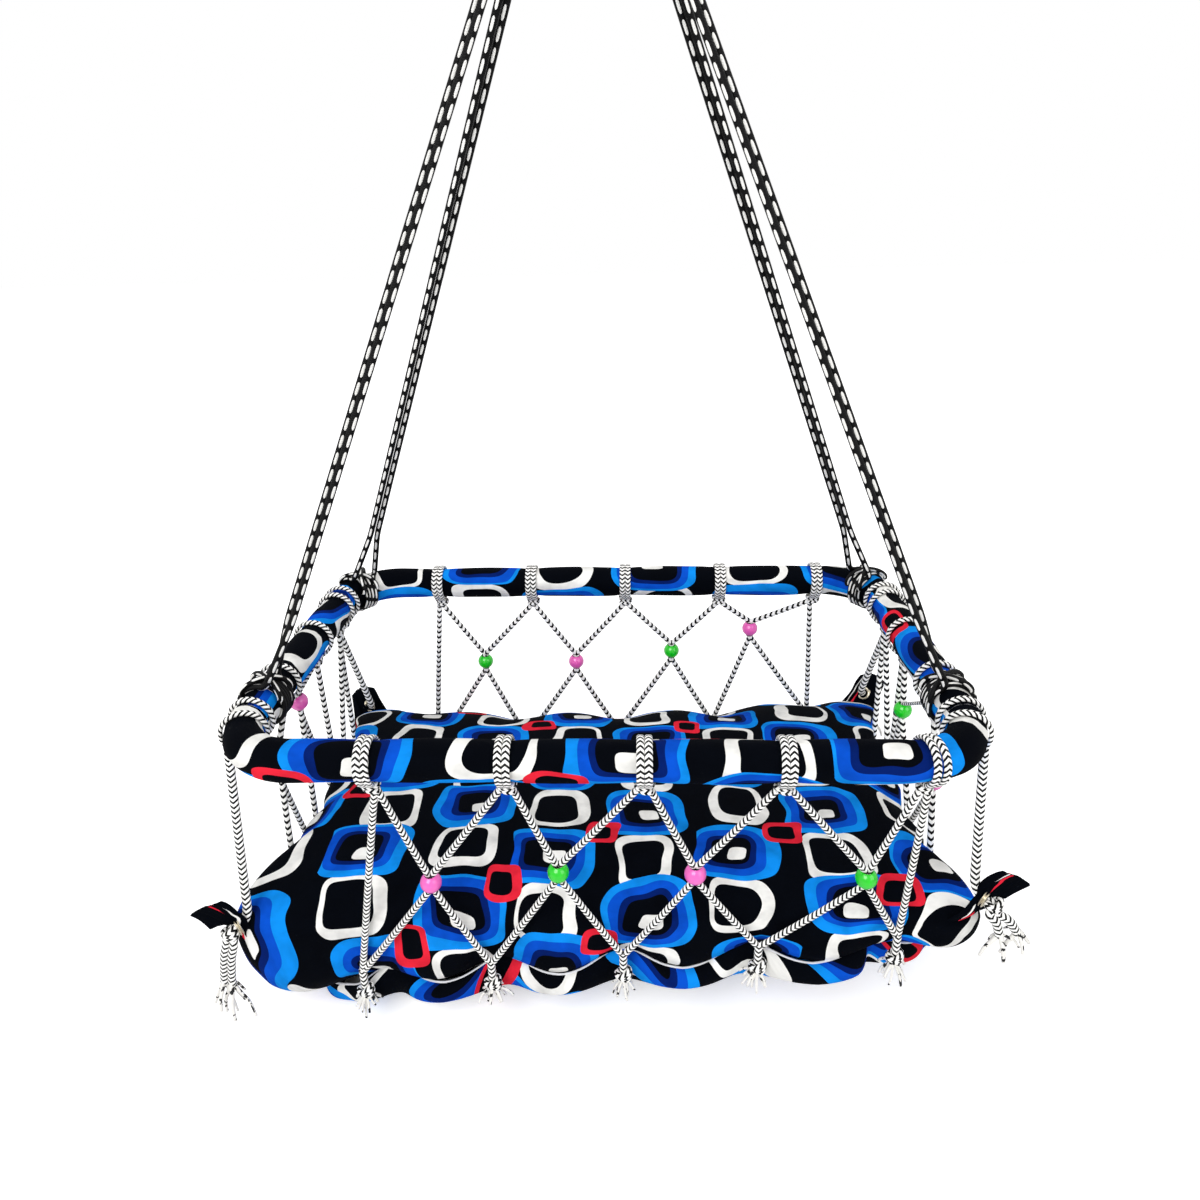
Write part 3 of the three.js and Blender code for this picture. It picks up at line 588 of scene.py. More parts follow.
def bent(points: Sequence[Array], reach: float, step: float) -> Array:
    """Draw straight runs with rounded corners.

    Args:
        points: the ends and corners.
        reach: how far from its corner each bend begins.
        step: the distance between the line's points.

    Returns:
        The line's points, at even steps.
    """
    knots = [np.array(point, dtype=float) for point in points]
    line = [knots[0]]
    for before, corner, after in zip(knots, knots[1:], knots[2:]):
        arrive = corner + unit(before - corner) * min(reach, np.linalg.norm(before - corner) / 2)
        leave = corner + unit(after - corner) * min(reach, np.linalg.norm(after - corner) / 2)
        for share in np.linspace(0.0, 1.0, 9):
            line.append((1 - share) ** 2 * arrive + 2 * share * (1 - share) * corner + share**2 * leave)
    line.append(knots[-1])
    return spaced(np.array(line), step)


def round_section(diameter: float, sides: int = 12) -> Array:
    """Return a round cross-section, anticlockwise from the side that faces away."""
    angles = 2 * np.pi * np.arange(sides) / sides - np.pi / 2
    return 0.5 * diameter * np.stack([np.cos(angles), np.sin(angles)], axis=1)


def flat_section(width: float, thickness: float, sides: int) -> Array:
    """Return a flattened oval cross-section, anticlockwise from the middle of its back."""
    angles = 2 * np.pi * np.arange(sides) / sides - np.pi / 2
    cosine, sine = np.cos(angles), np.sin(angles)
    across = np.sign(cosine) * np.abs(cosine) ** 0.7
    return 0.5 * np.stack([width * across, thickness * np.sign(sine) * np.abs(sine) ** 0.85], axis=1)


class Form:
    """Surfaces gathered into one mesh, in millimetres from the middle of the ring."""

    def __init__(self) -> None:
        """Start empty."""
        self.points: list[Array] = []
        self.faces: list[tuple[int, ...]] = []
        self.cuts: list[Pair] = []
        self.finishes: list[int] = []
        self.count = 0

    def grid(self, points: Array, cuts: Array, closed: bool = False, finish: int = 0) -> Array:
        """Add a sheet of quads.

        Args:
            points: rows by columns of points.
            cuts: the unrolled place of each point in metres, with one more column where it is closed.
            closed: whether the last column joins the first.
            finish: the number of the finish it wears.

        Returns:
            The numbers of its points, rows by columns.
        """
        rows, columns = points.shape[:2]
        index = np.arange(rows * columns).reshape(rows, columns) + self.count
        self.points.append(points.reshape(-1, 3))
        self.count += rows * columns
        around = np.concatenate([index, index[:, :1]], axis=1) if closed else index
        quads = np.stack([around[:-1, :-1], around[1:, :-1], around[1:, 1:], around[:-1, 1:]], axis=-1)
        corners = np.stack([cuts[:-1, :-1], cuts[1:, :-1], cuts[1:, 1:], cuts[:-1, 1:]], axis=-2)
        self.faces.extend(map(tuple, quads.reshape(-1, 4).tolist()))
        self.cuts.extend(map(tuple, corners.reshape(-1, 2).tolist()))
        self.finishes.extend([finish] * (quads.size // 4))
        return index

    def cap(self, ring: Array, centre: Array, cuts: Array, finish: int, flip: bool) -> None:
        """Close a ring of points with a fan.

        Args:
            ring: the numbers of the ring's points.
            centre: the fan's middle.
            cuts: the unrolled place of each point, the first one again at the end.
            finish: the number of the finish it wears.
            flip: whether the fan looks the other way.
        """
        self.points.append(centre.reshape(1, 3))
        middle = self.count
        self.count += 1
        count = len(ring)
        for step in range(count):
            after = (step + 1) % count
            corner = (int(ring[step]), int(ring[after]), middle)
            place = (tuple(cuts[step]), tuple(cuts[step + 1]), tuple(cuts[step]))
            self.faces.append(corner[::-1] if flip else corner)
            self.cuts.extend(place[::-1] if flip else place)
            self.finishes.append(finish)

    def sweep(self, route: Array, section: Array, facing: Array | None = None, size: Array | None = None,
              ends: EndCap = EndCap.FLAT, closed: bool = False, finish: int = 0, grain: float = 1.0) -> None:
        """Add a cross-section carried along a route.

        Args:
            route: the middle line.
            section: the cross-section, across by facing, anticlockwise.
            facing: which way the front of the section looks, one for all or one a point.
            size: how much the section is scaled at each point.
            ends: how the two ends are closed.
            closed: whether the route is a loop, its last point next to its first.
            finish: the number of the finish it wears.
            grain: how large the finish's pattern is drawn.
        """
        line = np.array(route, dtype=float)
        scale = np.ones(len(line)) if size is None else np.array(size, dtype=float)
        if closed:
            ahead = unit(np.roll(line, -1, axis=0) - np.roll(line, 1, axis=0))
        else:
            ahead = unit(np.gradient(line, axis=0))
        if facing is None:
            normal = self.carried(ahead)
        else:
            normal = np.broadcast_to(np.array(facing, dtype=float), line.shape)
        normal = unit(normal - ahead * np.sum(normal * ahead, axis=1, keepdims=True))
        if ends is EndCap.ROUND and not closed:
            line, ahead, normal, scale = self.rounded(line, ahead, normal, scale, section)
        across = np.cross(ahead, normal)
        points = (line[:, None] + section[None, :, :1] * across[:, None] * scale[:, None, None]
                  + section[None, :, 1:] * normal[:, None] * scale[:, None, None])
        around = run_along(np.vstack([section, section[:1]]))
        around = (around - around[-1] / 2) * METRES
        along = run_along(line) * METRES
        if closed:
            points = np.concatenate([points, points[:1]])
            along = np.append(along, along[-1] + np.linalg.norm(line[-1] - line[0]) * METRES)
        cuts = np.stack(np.meshgrid(around, along), axis=-1) / grain
        index = self.grid(points, cuts, True, finish)
        if not closed:
            self.cap(index[0], line[0], cuts[0], finish, False)
            self.cap(index[-1], line[-1], cuts[-1], finish, True)

    @staticmethod
    def carried(ahead: Array) -> Array:
        """Return a sideways vector carried along the route without twisting."""
        start = UP if abs(ahead[0] @ UP) < 0.9 else np.array([1.0, 0.0, 0.0])
        normals = [unit(start - ahead[0] * (start @ ahead[0]))]
        for way in ahead[1:]:
            last = normals[-1]
            normals.append(unit(last - way * (last @ way)))
        return np.array(normals)

    @staticmethod
    def rounded(line: Array, ahead: Array, normal: Array, scale: Array, section: Array) -> tuple[Array, ...]:
        """Add a dome of shrinking sections to both ends of a route.

        Args:
            line: the middle line.
            ahead: the way ahead at each point.
            normal: the way that the section's front looks at each point.
            scale: how much the section is scaled at each point.
            section: the cross-section.

        Returns:
            The line, the two ways and the scale, longer by the domes.
        """
        angles = np.radians([80.0, 60.0, 40.0, 20.0])
        size = np.cos(angles)
        reach = float(np.abs(section[:, 1]).max()) * np.sin(angles)[:, None]
        domed = np.concatenate([line[0] - ahead[0] * reach * scale[0], line,
                                line[-1] + ahead[-1] * reach[::-1] * scale[-1]])
        ahead, normal = (np.pad(way, ((len(size), len(size)), (0, 0)), "edge") for way in (ahead, normal))
        return domed, ahead, normal, np.concatenate([scale[0] * size, scale, scale[-1] * size[::-1]])

    def knotted(self, centre: Array, across: Array, out: Array, size: Pair, section: Array,
                rise: float = 0.0) -> None:
        """Add one closed turn of cord, as a knot has.

        Args:
            centre: the turn's middle.
            across: the way along which it is long.
            out: the way along which it is deep.
            size: its half length and half depth.
            section: the cord's cross-section.
            rise: how far its end on the across side is raised.
        """
        angles = np.radians(np.arange(0.0, 360.0, 12.0))
        cosine, sine = np.cos(angles)[:, None], np.sin(angles)[:, None]
        loop = centre + cosine * across * size[0] + sine * out * size[1] + UP * rise * cosine
        self.sweep(loop, section, cosine * across + sine * out, closed=True)

    def turned(self, profile: Sequence[Pair], centre: Array, axis: Array, segments: int = 40) -> None:
        """Add a closed profile turned about an axis.

        Args:
            profile: its points as radius and height.
            centre: the axis's point at height 0.
            axis: which way the axis points.
            segments: how many steps there are in a turn.
        """
        way = unit(np.array(axis, dtype=float))
        first = unit(np.cross(way, UP)) if abs(way @ UP) < 0.95 else np.array([1.0, 0.0, 0.0])
        second = np.cross(way, first)
        angles = 2 * np.pi * np.arange(segments) / segments
        radial = np.cos(angles)[:, None] * first + np.sin(angles)[:, None] * second
        outline = np.array([*profile, profile[0]], dtype=float)
        points = centre + outline[:, None, :1] * radial[None] + outline[:, None, 1:] * way
        turn = np.linspace(0.0, 2 * np.pi * outline[:, 0].max(), segments + 1) * METRES
        self.grid(points, np.stack(np.meshgrid(turn, run_along(outline) * METRES), axis=-1), True)

    def piece(self, name: str, finishes: Sequence[Finish], slot: str, replaces: Iterable[str] = (),
              body: Body = Body.CRADLE) -> bpy.types.Object:
        """Make the mesh, dress it and hand it to the frame.

        Args:
            name: the piece's name.
            finishes: its finishes, in the order of their numbers.
            slot: the record's slot of its finish; not used.
            replaces: the CAD nodes that it stands for.
            body: what it moves with.

        Returns:
            The new object.
        """
        points = in_frame(np.concatenate(self.points))
        mesh = bpy.data.meshes.new(name)
        mesh.from_pydata(points.tolist(), [], self.faces)
        layer = mesh.uv_layers.new(name="cut")
        layer.data.foreach_set("uv", np.array(self.cuts, dtype=np.float32).ravel())
        mesh.polygons.foreach_set("material_index", np.array(self.finishes, dtype=np.int32))
        mesh.polygons.foreach_set("use_smooth", np.full(len(self.faces), True))
        for finish in finishes:
            mesh.materials.append(finish.material())
        mesh.validate()
        mesh.update()
        made = placed(name, mesh)
        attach(made, body.value)
        if replaces:
            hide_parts(*replaces)
        log.info("%s: %d points", name, len(points))
        return made


# The ring's middle line


@dataclass(frozen=True)
class Place:
    """A place on the ring's middle line."""

    point: Array
    ahead: Array
    outward: Array

    def round_rail(self, reach: float, angle: float) -> Array:
        """Return the point at a reach from the middle line, at an angle up from outward."""
        return self.point + reach * (math.cos(angle) * self.outward + math.sin(angle) * UP)


@dataclass(frozen=True)
class RingPath:
    """The ring's middle line, walked anticlockwise seen from above from the middle of the front rail."""

    length: float = 700.0
    width: float = 444.0
    rail: float = 38.0
    corner: float = 65.0

    @property
    def half_length(self) -> float:
        """Half the middle line's length along X."""
        return (self.length - self.rail) / 2

    @property
    def half_width(self) -> float:
        """Half the middle line's width along Y."""
        return (self.width - self.rail) / 2

    @property
    def straight_x(self) -> float:
        """Half the straight run of the long rails."""
        return self.half_length - self.corner

    @property
    def straight_y(self) -> float:
        """Half the straight run of the short rails."""
        return self.half_width - self.corner

    @property
    def arc(self) -> float:
        """The run round one corner."""
        return self.corner * math.pi / 2

    @property
    def stretches(self) -> list[float]:
        """The straights and arcs in order."""
        long, short, arc = self.straight_x, 2 * self.straight_y, self.arc
        return [long, arc, short, arc, 2 * long, arc, short, arc, long]

    @property
    def whole(self) -> float:
        """The run once round the ring."""
        return sum(self.stretches)

    def at(self, run: float) -> Place:
        """Walk along the ring's middle line.

        Args:
            run: how far.

        Returns:
            The place that is reached.
        """
        left = run % self.whole
        heading = 0.0
        point = np.array([0.0, -self.half_width, 0.0])
        for number, stretch in enumerate(self.stretches):
            if left <= 0:
                break
            step = min(left, stretch)
            ahead = np.array([math.cos(heading), math.sin(heading), 0.0])
            inward = np.array([-math.sin(heading), math.cos(heading), 0.0])
            if number % 2 == 0:
                point = point + ahead * step
            else:
                angle = step / self.corner
                point = point + ahead * self.corner * math.sin(angle)
                point = point + inward * self.corner * (1 - math.cos(angle))
                heading += angle
            left -= step
        ahead = np.array([math.cos(heading), math.sin(heading), 0.0])
        return Place(point, ahead, np.array([math.sin(heading), -math.cos(heading), 0.0]))

    def right(self, y: float) -> float:
        """Return the run on the right rail at y."""
        return self.straight_x + self.arc + self.straight_y + y

    def left(self, y: float) -> float:
        """Return the run on the left rail at y."""
        return self.whole - self.right(y)

    def back(self, x: float) -> float:
        """Return the run on the back rail at x."""
        return self.whole / 2 - x

    def runs(self, runs: Array) -> tuple[Array, Array, Array]:
        """Return points, ways ahead and ways outward at many runs."""
        places = [self.at(float(run)) for run in runs]
        return (np.array([p.point for p in places]), np.array([p.ahead for p in places]),
                np.array([p.outward for p in places]))


@dataclass(frozen=True)
class BedPlane:
    """The plane that the base sheet lies in, below the ring, and the tabs that stand up at its corners."""

    depth: float = 236.0
    tilt: float = 0.1
    half_x: float = 357.0
    half_y: float = 229.0
    tab: float = 36.0
    inset: float = 19.0
    front_rises: Pair = (94.0, 68.0)
    back_rises: Pair = (80.0, 30.0)
    thickness: float = 4.0

    def slope(self, x: float, y: float) -> float:
        """Return how steeply the tab at that corner stands, from its eyelet's rise above the sheet."""
        left, right = self.front_rises if y < 0 else self.back_rises
        return (left if x < 0 else right) / (self.tab - self.inset)

    def top(self, x: float, y: float) -> float:
        """Return the sheet's level at a place."""
        past = (abs(x) + abs(y) - self.half_x - self.half_y) / math.sqrt(2) + self.tab
        return self.tilt * x - self.depth + self.slope(x, y) * max(past, 0.0)

    def eyelet(self, sign_x: int, sign_y: int) -> tuple[Array, Array]:
        """Return an eyelet's middle and the way that it faces."""
        x = sign_x * (self.half_x - self.inset / math.sqrt(2))
        y = sign_y * (self.half_y - self.inset / math.sqrt(2))
        slope = self.slope(x, y) / math.sqrt(2)
        normal = unit(np.array([-sign_x * slope - self.tilt, -sign_y * slope, 1.0]))
        return np.array([x, y, self.top(x, y) - self.thickness / 2]), normal


RING = RingPath()
BED = BedPlane()


# The camera, the light and the floor


@dataclass(frozen=True)
class Studio:
    """The photograph's camera, a pale floor and plain soft light."""

    spot: Triple = (0.0375, -0.8239, -0.5728)
    focal: float = 860.1
    picture: float = 1200.0
    yaw: float = -2.832
    pitch: float = 23.54
    roll: float = -1.514
    floor_drop: float = 0.318
    film: float = 36.0
    floor_near: float = 0.4
    floor_far: float = 1.3
    floor_lift: float = 0.42
    floor_glow: float = 0.8
    floor_half: float = 14.0
    clip: Pair = (0.02, 60.0)
    # How bright the world is where it lights the cradle, and how much more where it is seen
    daylight: Pair = (0.48, 0.52)
    middle: Triple = (0.0, 0.0, -1.1)

    def set_camera(self) -> None:
        """Make the camera and set it as the scene's."""
        yaw, pitch, roll = (math.radians(value) for value in (self.yaw, self.pitch, self.roll))
        ahead = Vector((math.sin(yaw) * math.cos(pitch), math.cos(yaw) * math.cos(pitch), -math.sin(pitch)))
        level = Vector((math.cos(yaw), -math.sin(yaw), 0.0))
        rise = level.cross(ahead)
        right = level * math.cos(roll) + rise * math.sin(roll)
        top = rise * math.cos(roll) - level * math.sin(roll)
        data = bpy.data.cameras.new("camera")
        data.sensor_width = self.film
        data.lens = self.focal * self.film / self.picture
        data.clip_start, data.clip_end = self.clip
        made = placed("camera", data)
        turn = Matrix((right, top, -ahead)).transposed().to_4x4()
        made.matrix_world = Matrix.Translation(Vector(self.spot)) @ turn
        bpy.context.scene.camera = made

    def set_world(self) -> None:
        """Light evenly from all round, and show white where nothing stands."""
        world = bpy.data.worlds.new("white_room")
        world.use_nodes = True
        tree = world.node_tree
        tree.nodes.clear()
        rays = add_node(tree, "LightPath", {}, {}).outputs
        lit, seen = self.daylight
        strength = chain(tree, rays["Is Camera Ray"], ("MAXIMUM", rays["Is Glossy Ray"]),
                         ("MAXIMUM", rays["Is Transmission Ray"]), ("MULTIPLY_ADD", seen, lit))
        back = add_node(tree, "Background", {}, {"Color": linear("#ffffff"), "Strength": strength})
        add_node(tree, "OutputWorld", {}, {"Surface": back.outputs[0]})
        bpy.context.scene.world = world

    def add_lamp(self, name: str, spot: Triple, size: float, power: float) -> None:
        """Add a soft box that looks at the cradle's middle.

        Args:
            name: the lamp's name.
            spot: where it stands, in metres.
            size: its width in metres.
            power: its power in watts.
        """
        data = bpy.data.lights.new(name, "AREA")
        data.size = size
        data.energy = power
        made = placed(name, data)
        made.location = spot
        way = Vector(self.middle) - Vector(spot)
        made.rotation_euler = way.to_track_quat("-Z", "Y").to_euler()

    def set_lamps(self) -> None:
        """Stand a large key above the front left, a fill at the right and a lamp above the back."""
        self.add_lamp("key", (-0.9, -1.9, 0.7), 1.6, 44.0)
        self.add_lamp("fill", (1.7, -1.3, -0.1), 1.4, 12.0)
        self.add_lamp("top", (0.1, 0.6, 1.1), 1.2, 14.0)

    def set_floor(self) -> None:
        """Lay a pale floor just under the lowest knot."""
        half = self.floor_half
        mesh = bpy.data.meshes.new("floor")
        mesh.from_pydata([(-half, -half, 0.0), (half, -half, 0.0), (half, half, 0.0), (-half, half, 0.0)],
                         [], [(0, 1, 2, 3)])
        material = bpy.data.materials.new("pale_paper_floor")
        material.use_nodes = True
        tree = material.node_tree
        tree.nodes.clear()
        rays = add_node(tree, "LightPath", {}, {}).outputs
        place = add_node(tree, "TexCoord", {}, {}).outputs["Object"]
        away = add_node(tree, "VectorMath", {"operation": "LENGTH"}, {0: place}).outputs["Value"]
        ends = (away, self.floor_near, self.floor_far, self.floor_lift, self.floor_glow)
        far = add_node(tree, "MapRange", {}, dict(enumerate(ends))).outputs[0]
        glow = chain(tree, rays["Is Camera Ray"], ("MULTIPLY", far))
        shader = add_node(tree, "BsdfPrincipled", {}, {
            "Base Color": linear("#fbfbfb"), "Roughness": 0.9, "Emission Color": linear("#ffffff"),
            "Emission Strength": glow, "Specular IOR Level": 0.0})
        add_node(tree, "OutputMaterial", {}, {"Surface": shader.outputs[0]})
        mesh.materials.append(material)
        made = placed("floor", mesh)
        made.location = (0.0, 0.0, RING_LEVEL * METRES - self.floor_drop)

    def build(self) -> None:
        """Set up everything that isn't the cradle."""
        self.set_camera()
        self.set_world()
        self.set_lamps()
        self.set_floor()
        bpy.context.scene.view_settings.view_transform = "Standard"


# Ropes


@dataclass
class Ropes:
    """Four doubled ropes from the head to their lashings on the ring, and the head where they meet."""

    diameter: float = 7.0
    rail: float = 19.0
    seat: float = 0.35
    rise: float = 775.0
    slot_radius: float = 11.0
    straight: float = 12.0
    tail_bend: float = 8.0
    gather: float = 90.0
    gather_gap: float = 1.4
    front_share: float = 0.49
    back_share: float = 0.4
    half_width: float = 11.7
    corner_half_width: float = 13.0
    tail_shift: float = 3.5
    head_length: float = 40.0
    loop_rise: float = 24.0
    core: float = 15.0
    # The bights over the steel ring: first strand, last strand, place along the ring and radius
    bights: tuple[tuple[int, int, float, float], ...] = (
        (0, 1, -3.55, 8.2), (7, 2, -3.55, 14.9), (5, 4, 3.55, 8.2), (6, 3, 3.55, 14.9))
    # How thin the rope is pulled where it is laid, how far it sinks into the rail, and how it rides up
    laid: float = 0.76
    sunk: float = 0.3
    ripple: float = 0.4
    coil_turns: int = 5
    corner_turns: int = 4
    # The two crossing turns: their lifts, where they begin beside the strands and how far round they go
    lifts: Pair = (1.0, 1.15)
    binding_arc: Pair = (-1.15, 2.0)
    whipping_turns: int = 6
    whipping_cord: float = 5.0
    fine: float = 1.6

    def slot(self, index: int) -> Array:
        """Return where strand number index leaves the head."""
        angle = 2 * math.pi * (index + 0.5) / 8 - math.pi / 2
        return np.array([self.slot_radius * math.cos(angle), self.slot_radius * math.sin(angle), self.rise])

    def radius(self, extra: float) -> float:
        """Return the lashing's radius round the rail."""
        return (self.rail + self.seat + extra + self.diameter / 2) / math.cos(math.pi / 16)

    def tail(self, run: float, side: int, half: float, index: int, extra: float) -> tuple[Array, ...]:
        """Return where a strand leaves its lashing.

        Args:
            run: the lashing's middle.
            side: -1 or 1, the end of the lashing that it leaves.
            half: half the lashing's width.
            index: the strand's number at the head.
            extra: how much further out it lies, on a bend of the rail.

        Returns:
            Its shoulder beside the lashing, the way up from it, and where the pair closes up.
        """
        middle = RING.at(run)
        slot = self.slot(index)
        rising = unit(slot - [0.0, 0.0, self.straight] - middle.point)
        square = unit(rising - middle.ahead * (rising @ middle.ahead))
        shoulder = RING.at(run + side * (half + self.tail_shift)).point + square * self.radius(extra)
        apart = unit(slot - self.slot(index - side)) * (self.diameter + self.gather_gap) / 2
        gather = middle.point + rising * self.gather + apart
        return shoulder, unit(gather - shoulder), gather

    def strand(self, name: str, run: float, side: int, half: float, index: int, extra: float) -> None:
        """Make one strand as a rope drawn taut between its lashing and the head.

        Args:
            name: the strand's node.
            run: the lashing's middle.
            side: -1 or 1, the end of the lashing that it leaves.
            half: half the lashing's width.
            index: the strand's number at the head.
            extra: how much further out it lies, on a bend of the rail.
        """
        slot = self.slot(index)
        shoulder, aim, gather = self.tail(run, side, half, index, extra)
        foot = shoulder + aim * self.tail_bend
        line = bent([foot, gather, slot - UP * self.straight, slot + UP * 4.0], 10.0, 6.0)
        form = Form()
        form.sweep(line, round_section(self.diameter))
        piece = form.piece(name.replace("strand", "rope_strand"), [ROPE], "black_rope", [name])

    def coil(self, run: float, start: float, half: float, turns: int) -> Array:
        """Return turns of rope round the rail that ride up on one another a little.

        Args:
            run: the lashing's middle.
            start: the angle round the rail at which they begin.
            half: half the coil's width.
            turns: how many there are.

        Returns:
            Their middle line.
        """
        radius = self.rail + self.laid * self.diameter / 2 - self.sunk
        line = []
        for share in np.linspace(0.0, 1.0, turns * 30 + 1):
            reach = radius + self.ripple * math.sin(23.0 * share)
            place = RING.at(run + 2 * half * (share - 0.5))
            line.append(place.round_rail(reach, start + 2 * math.pi * turns * share))
        return np.array(line)

    def lashing(self, name: str, run: float, first: int, half: float, extra: float) -> None:
        """Wind the rope tightly round the rail between its two strands, with a knot of crossing turns on top.

        Args:
            name: the lashing's name.
            run: its middle.
            first: its first strand's number at the head.
            half: half its width.
            extra: how much further out its strands lie, on a bend of the rail.
        """
        tails = [self.tail(run, side, half, first + number, extra) for number, side in enumerate((-1, 1))]
        start = math.atan2(tails[0][1][2], tails[0][1] @ RING.at(run).outward)
        core = self.coil(run, start, half, self.corner_turns if extra else self.coil_turns)
        lead = self.bend_in(tails[0], core[3], core[4])
        trail = self.bend_in(tails[1], core[-4], core[-5])[::-1]
        line = spaced(np.concatenate([lead, core[3:-3], trail]), self.fine)
        form = Form()
        # The rope is pulled thinner where it is laid
        steps = np.arange(len(line))
        pulled = np.minimum(np.minimum(steps, steps[::-1]) / 12.0, 1.0)
        form.sweep(line, round_section(self.diameter), size=1 - (1 - self.laid) * pulled)
        # The knot: turns that cross over the coil at the feet of the strands
        for slant, lift in zip((1, -1), self.lifts):
            form.sweep(self.binding(run, start, half, slant, lift), round_section(self.diameter * self.laid),
                       ends=EndCap.ROUND)
        form.piece(f"rope_{name}", [ROPE], "black_rope", [name])

    def bend_in(self, tail: tuple[Array, ...], first: Array, second: Array) -> Array:
        """Return the bend from a strand's straight run into the coil.

        Args:
            tail: what tail() returns for the strand.
            first: the coil's point where the bend ends.
            second: the coil's next point.

        Returns:
            The bend's points, without the coil's own.
        """
        aim = tail[1]
        root = tail[0] + aim * self.tail_bend
        along = unit(second - first)
        reach = self.tail_bend + 3
        share = np.linspace(0.0, 1.0, 10)[:-1, None]
        one, two = root - aim * reach, first - along * reach
        left = 1 - share
        return left**3 * root + 3 * share * left**2 * one + 3 * share**2 * left * two + share**3 * first

    def binding(self, run: float, start: float, half: float, slant: int, lift: float) -> Array:
        """Return one slanted turn that ties the two strands together over the coil.

        Args:
            run: the lashing's middle.
            start: the angle round the rail at which the strands leave.
            half: half the coil's width.
            slant: 1 or -1, which way the turn leans.
            lift: how far its middle stands off the rail, in rope diameters.

        Returns:
            The turn's middle line.
        """
        line = []
        low = 0.45
        begin, sweep = self.binding_arc
        for share in np.linspace(0.0, 1.0, 50):
            place = RING.at(run + slant * (half + 2.0) * math.cos(math.pi * share))
            reach = self.rail + self.diameter * (low + (lift - low) * math.sin(math.pi * share) ** 0.5)
            line.append(place.round_rail(reach, start + begin + sweep * share))
        return spaced(np.array(line), self.fine)

    def head(self) -> None:
        """Carry the strands up through the whipping and over the steel ring as four bights."""
        form = Form()
        top = self.rise + self.head_length
        axis = top + self.loop_rise
        straight = UP * (self.head_length - 9)
        for left, right, y, radius in self.bights:
            knots = [self.slot(left), self.slot(left) + straight]
            for angle in np.linspace(math.pi, 0.0, 13):
                knots.append(np.array([radius * math.cos(angle), y, axis + radius * math.sin(angle)]))
            knots += [self.slot(right) + straight, self.slot(right)]
            form.sweep(curved(knots, 1.8), round_section(self.diameter))
        form.sweep(spaced(np.array([[0, 0, self.rise + 3], [0, 0, top - 3]]), 4.0), round_section(self.core))
        form.piece("rope_bundle_head", [ROPE], "black_rope", ["rope_head"])

    def whipping(self) -> None:
        """Bind the head with closely laid turns."""
        turns, cord = self.whipping_turns, self.whipping_cord
        middle = self.rise + self.head_length / 2
        line = []
        for share in np.linspace(0.0, 1.0, turns * 40 + 1):
            angle = 2 * math.pi * turns * share
            radius = self.slot_radius + self.diameter / 2 + 0.15 + cord / 2
            height = middle + (cord + 0.12) * turns * (share - 0.5)
            line.append([radius * math.cos(angle), radius * math.sin(angle), height])
        form = Form()
        form.sweep(np.array(line), round_section(cord), ends=EndCap.ROUND)
        form.piece("rope_whipping", [ROPE], "black_rope", ["whipping"])

    def build(self) -> None:
        """Make the strands first, then the lashings, the head and the whipping."""
        back = RING.straight_x + RING.arc * (1 + self.back_share) + 2 * RING.straight_y
        front = RING.half_width * self.front_share
        # The corners' lashings lie on a bend of the rail, and its facets stand in by this much
        sagitta = RING.corner * (1 - math.cos(math.pi / 20))
        ropes = (("front_right", RING.right(-front), 0, self.half_width, 0.0),
                 ("back_right", back, 2, self.corner_half_width, sagitta),
                 ("back_left", RING.whole - back, 4, self.corner_half_width, sagitta),
                 ("front_left", RING.left(-front), 6, self.half_width, 0.0))
        for name, run, first, half, extra in ropes:
            for number, side in enumerate((-1, 1)):
                self.strand(f"strand_{name}_{number + 1}", run, side, half, first + number, extra)
        for name, run, first, half, extra in ropes:
            self.lashing(f"lashing_{name}", run, first, half, extra)
        self.head()
        self.whipping()


@dataclass
class Metalwork:
    """The S-hook and the welded steel ring."""

    hook_wire: float = 9.0
    upper_bore: float = 36.0
    lower_bore: float = 28.0
    span: float = 80.0
    ring_wire: float = 8.0
    ring_bore: float = 40.0
    play: float = 0.5

    def build(self) -> None:
        """Bend the hook and turn the ring, from the hook's bearing point down."""
        zero = -RING_LEVEL
        upper = (self.upper_bore + self.hook_wire) / 2
        lower = (self.lower_bore + self.hook_wire) / 2
        upper_level = zero - self.upper_bore / 2
        lower_level = upper_level - self.span
        lean = math.asin((upper + lower) / self.span)
        opening = math.pi / 18
        knots = [[upper * math.cos(a), 0.0, upper_level + upper * math.sin(a)]
                 for a in np.linspace(math.pi + opening, -lean, 40)]
        knots += [[lower * math.cos(a), 0.0, lower_level + lower * math.sin(a)]
                  for a in np.linspace(math.pi - lean, 2 * math.pi - opening, 36)]
        form = Form()
        form.sweep(spaced(np.array(knots), 1.6), round_section(self.hook_wire, 24), -FRONT, ends=EndCap.ROUND)
        form.piece("bent_s_hook", [ZINC], "plated_steel", ["s_hook"], Body.HOOK)
        rock = lower_level - lower
        radius = (self.ring_bore + self.ring_wire) / 2
        level = rock + (self.hook_wire + self.ring_wire) / 2 + self.play - radius
        angles = np.linspace(0.0, 2 * math.pi, 96, endpoint=False)
        loop = np.stack([0 * angles, radius * np.cos(angles), level + radius * np.sin(angles)], axis=1)
        # The weld stands a little proud on one side
        bead = 1 + 0.1 * np.exp(-((((angles - 0.4) + math.pi) % (2 * math.pi) - math.pi) / 0.07) ** 2)
        form = Form()
        form.sweep(loop, round_section(self.ring_wire, 20), np.array([1.0, 0.0, 0.0]), size=bead, closed=True)
        form.piece("welded_ring", [ZINC], "plated_steel", ["steel_ring"], Body.RING)


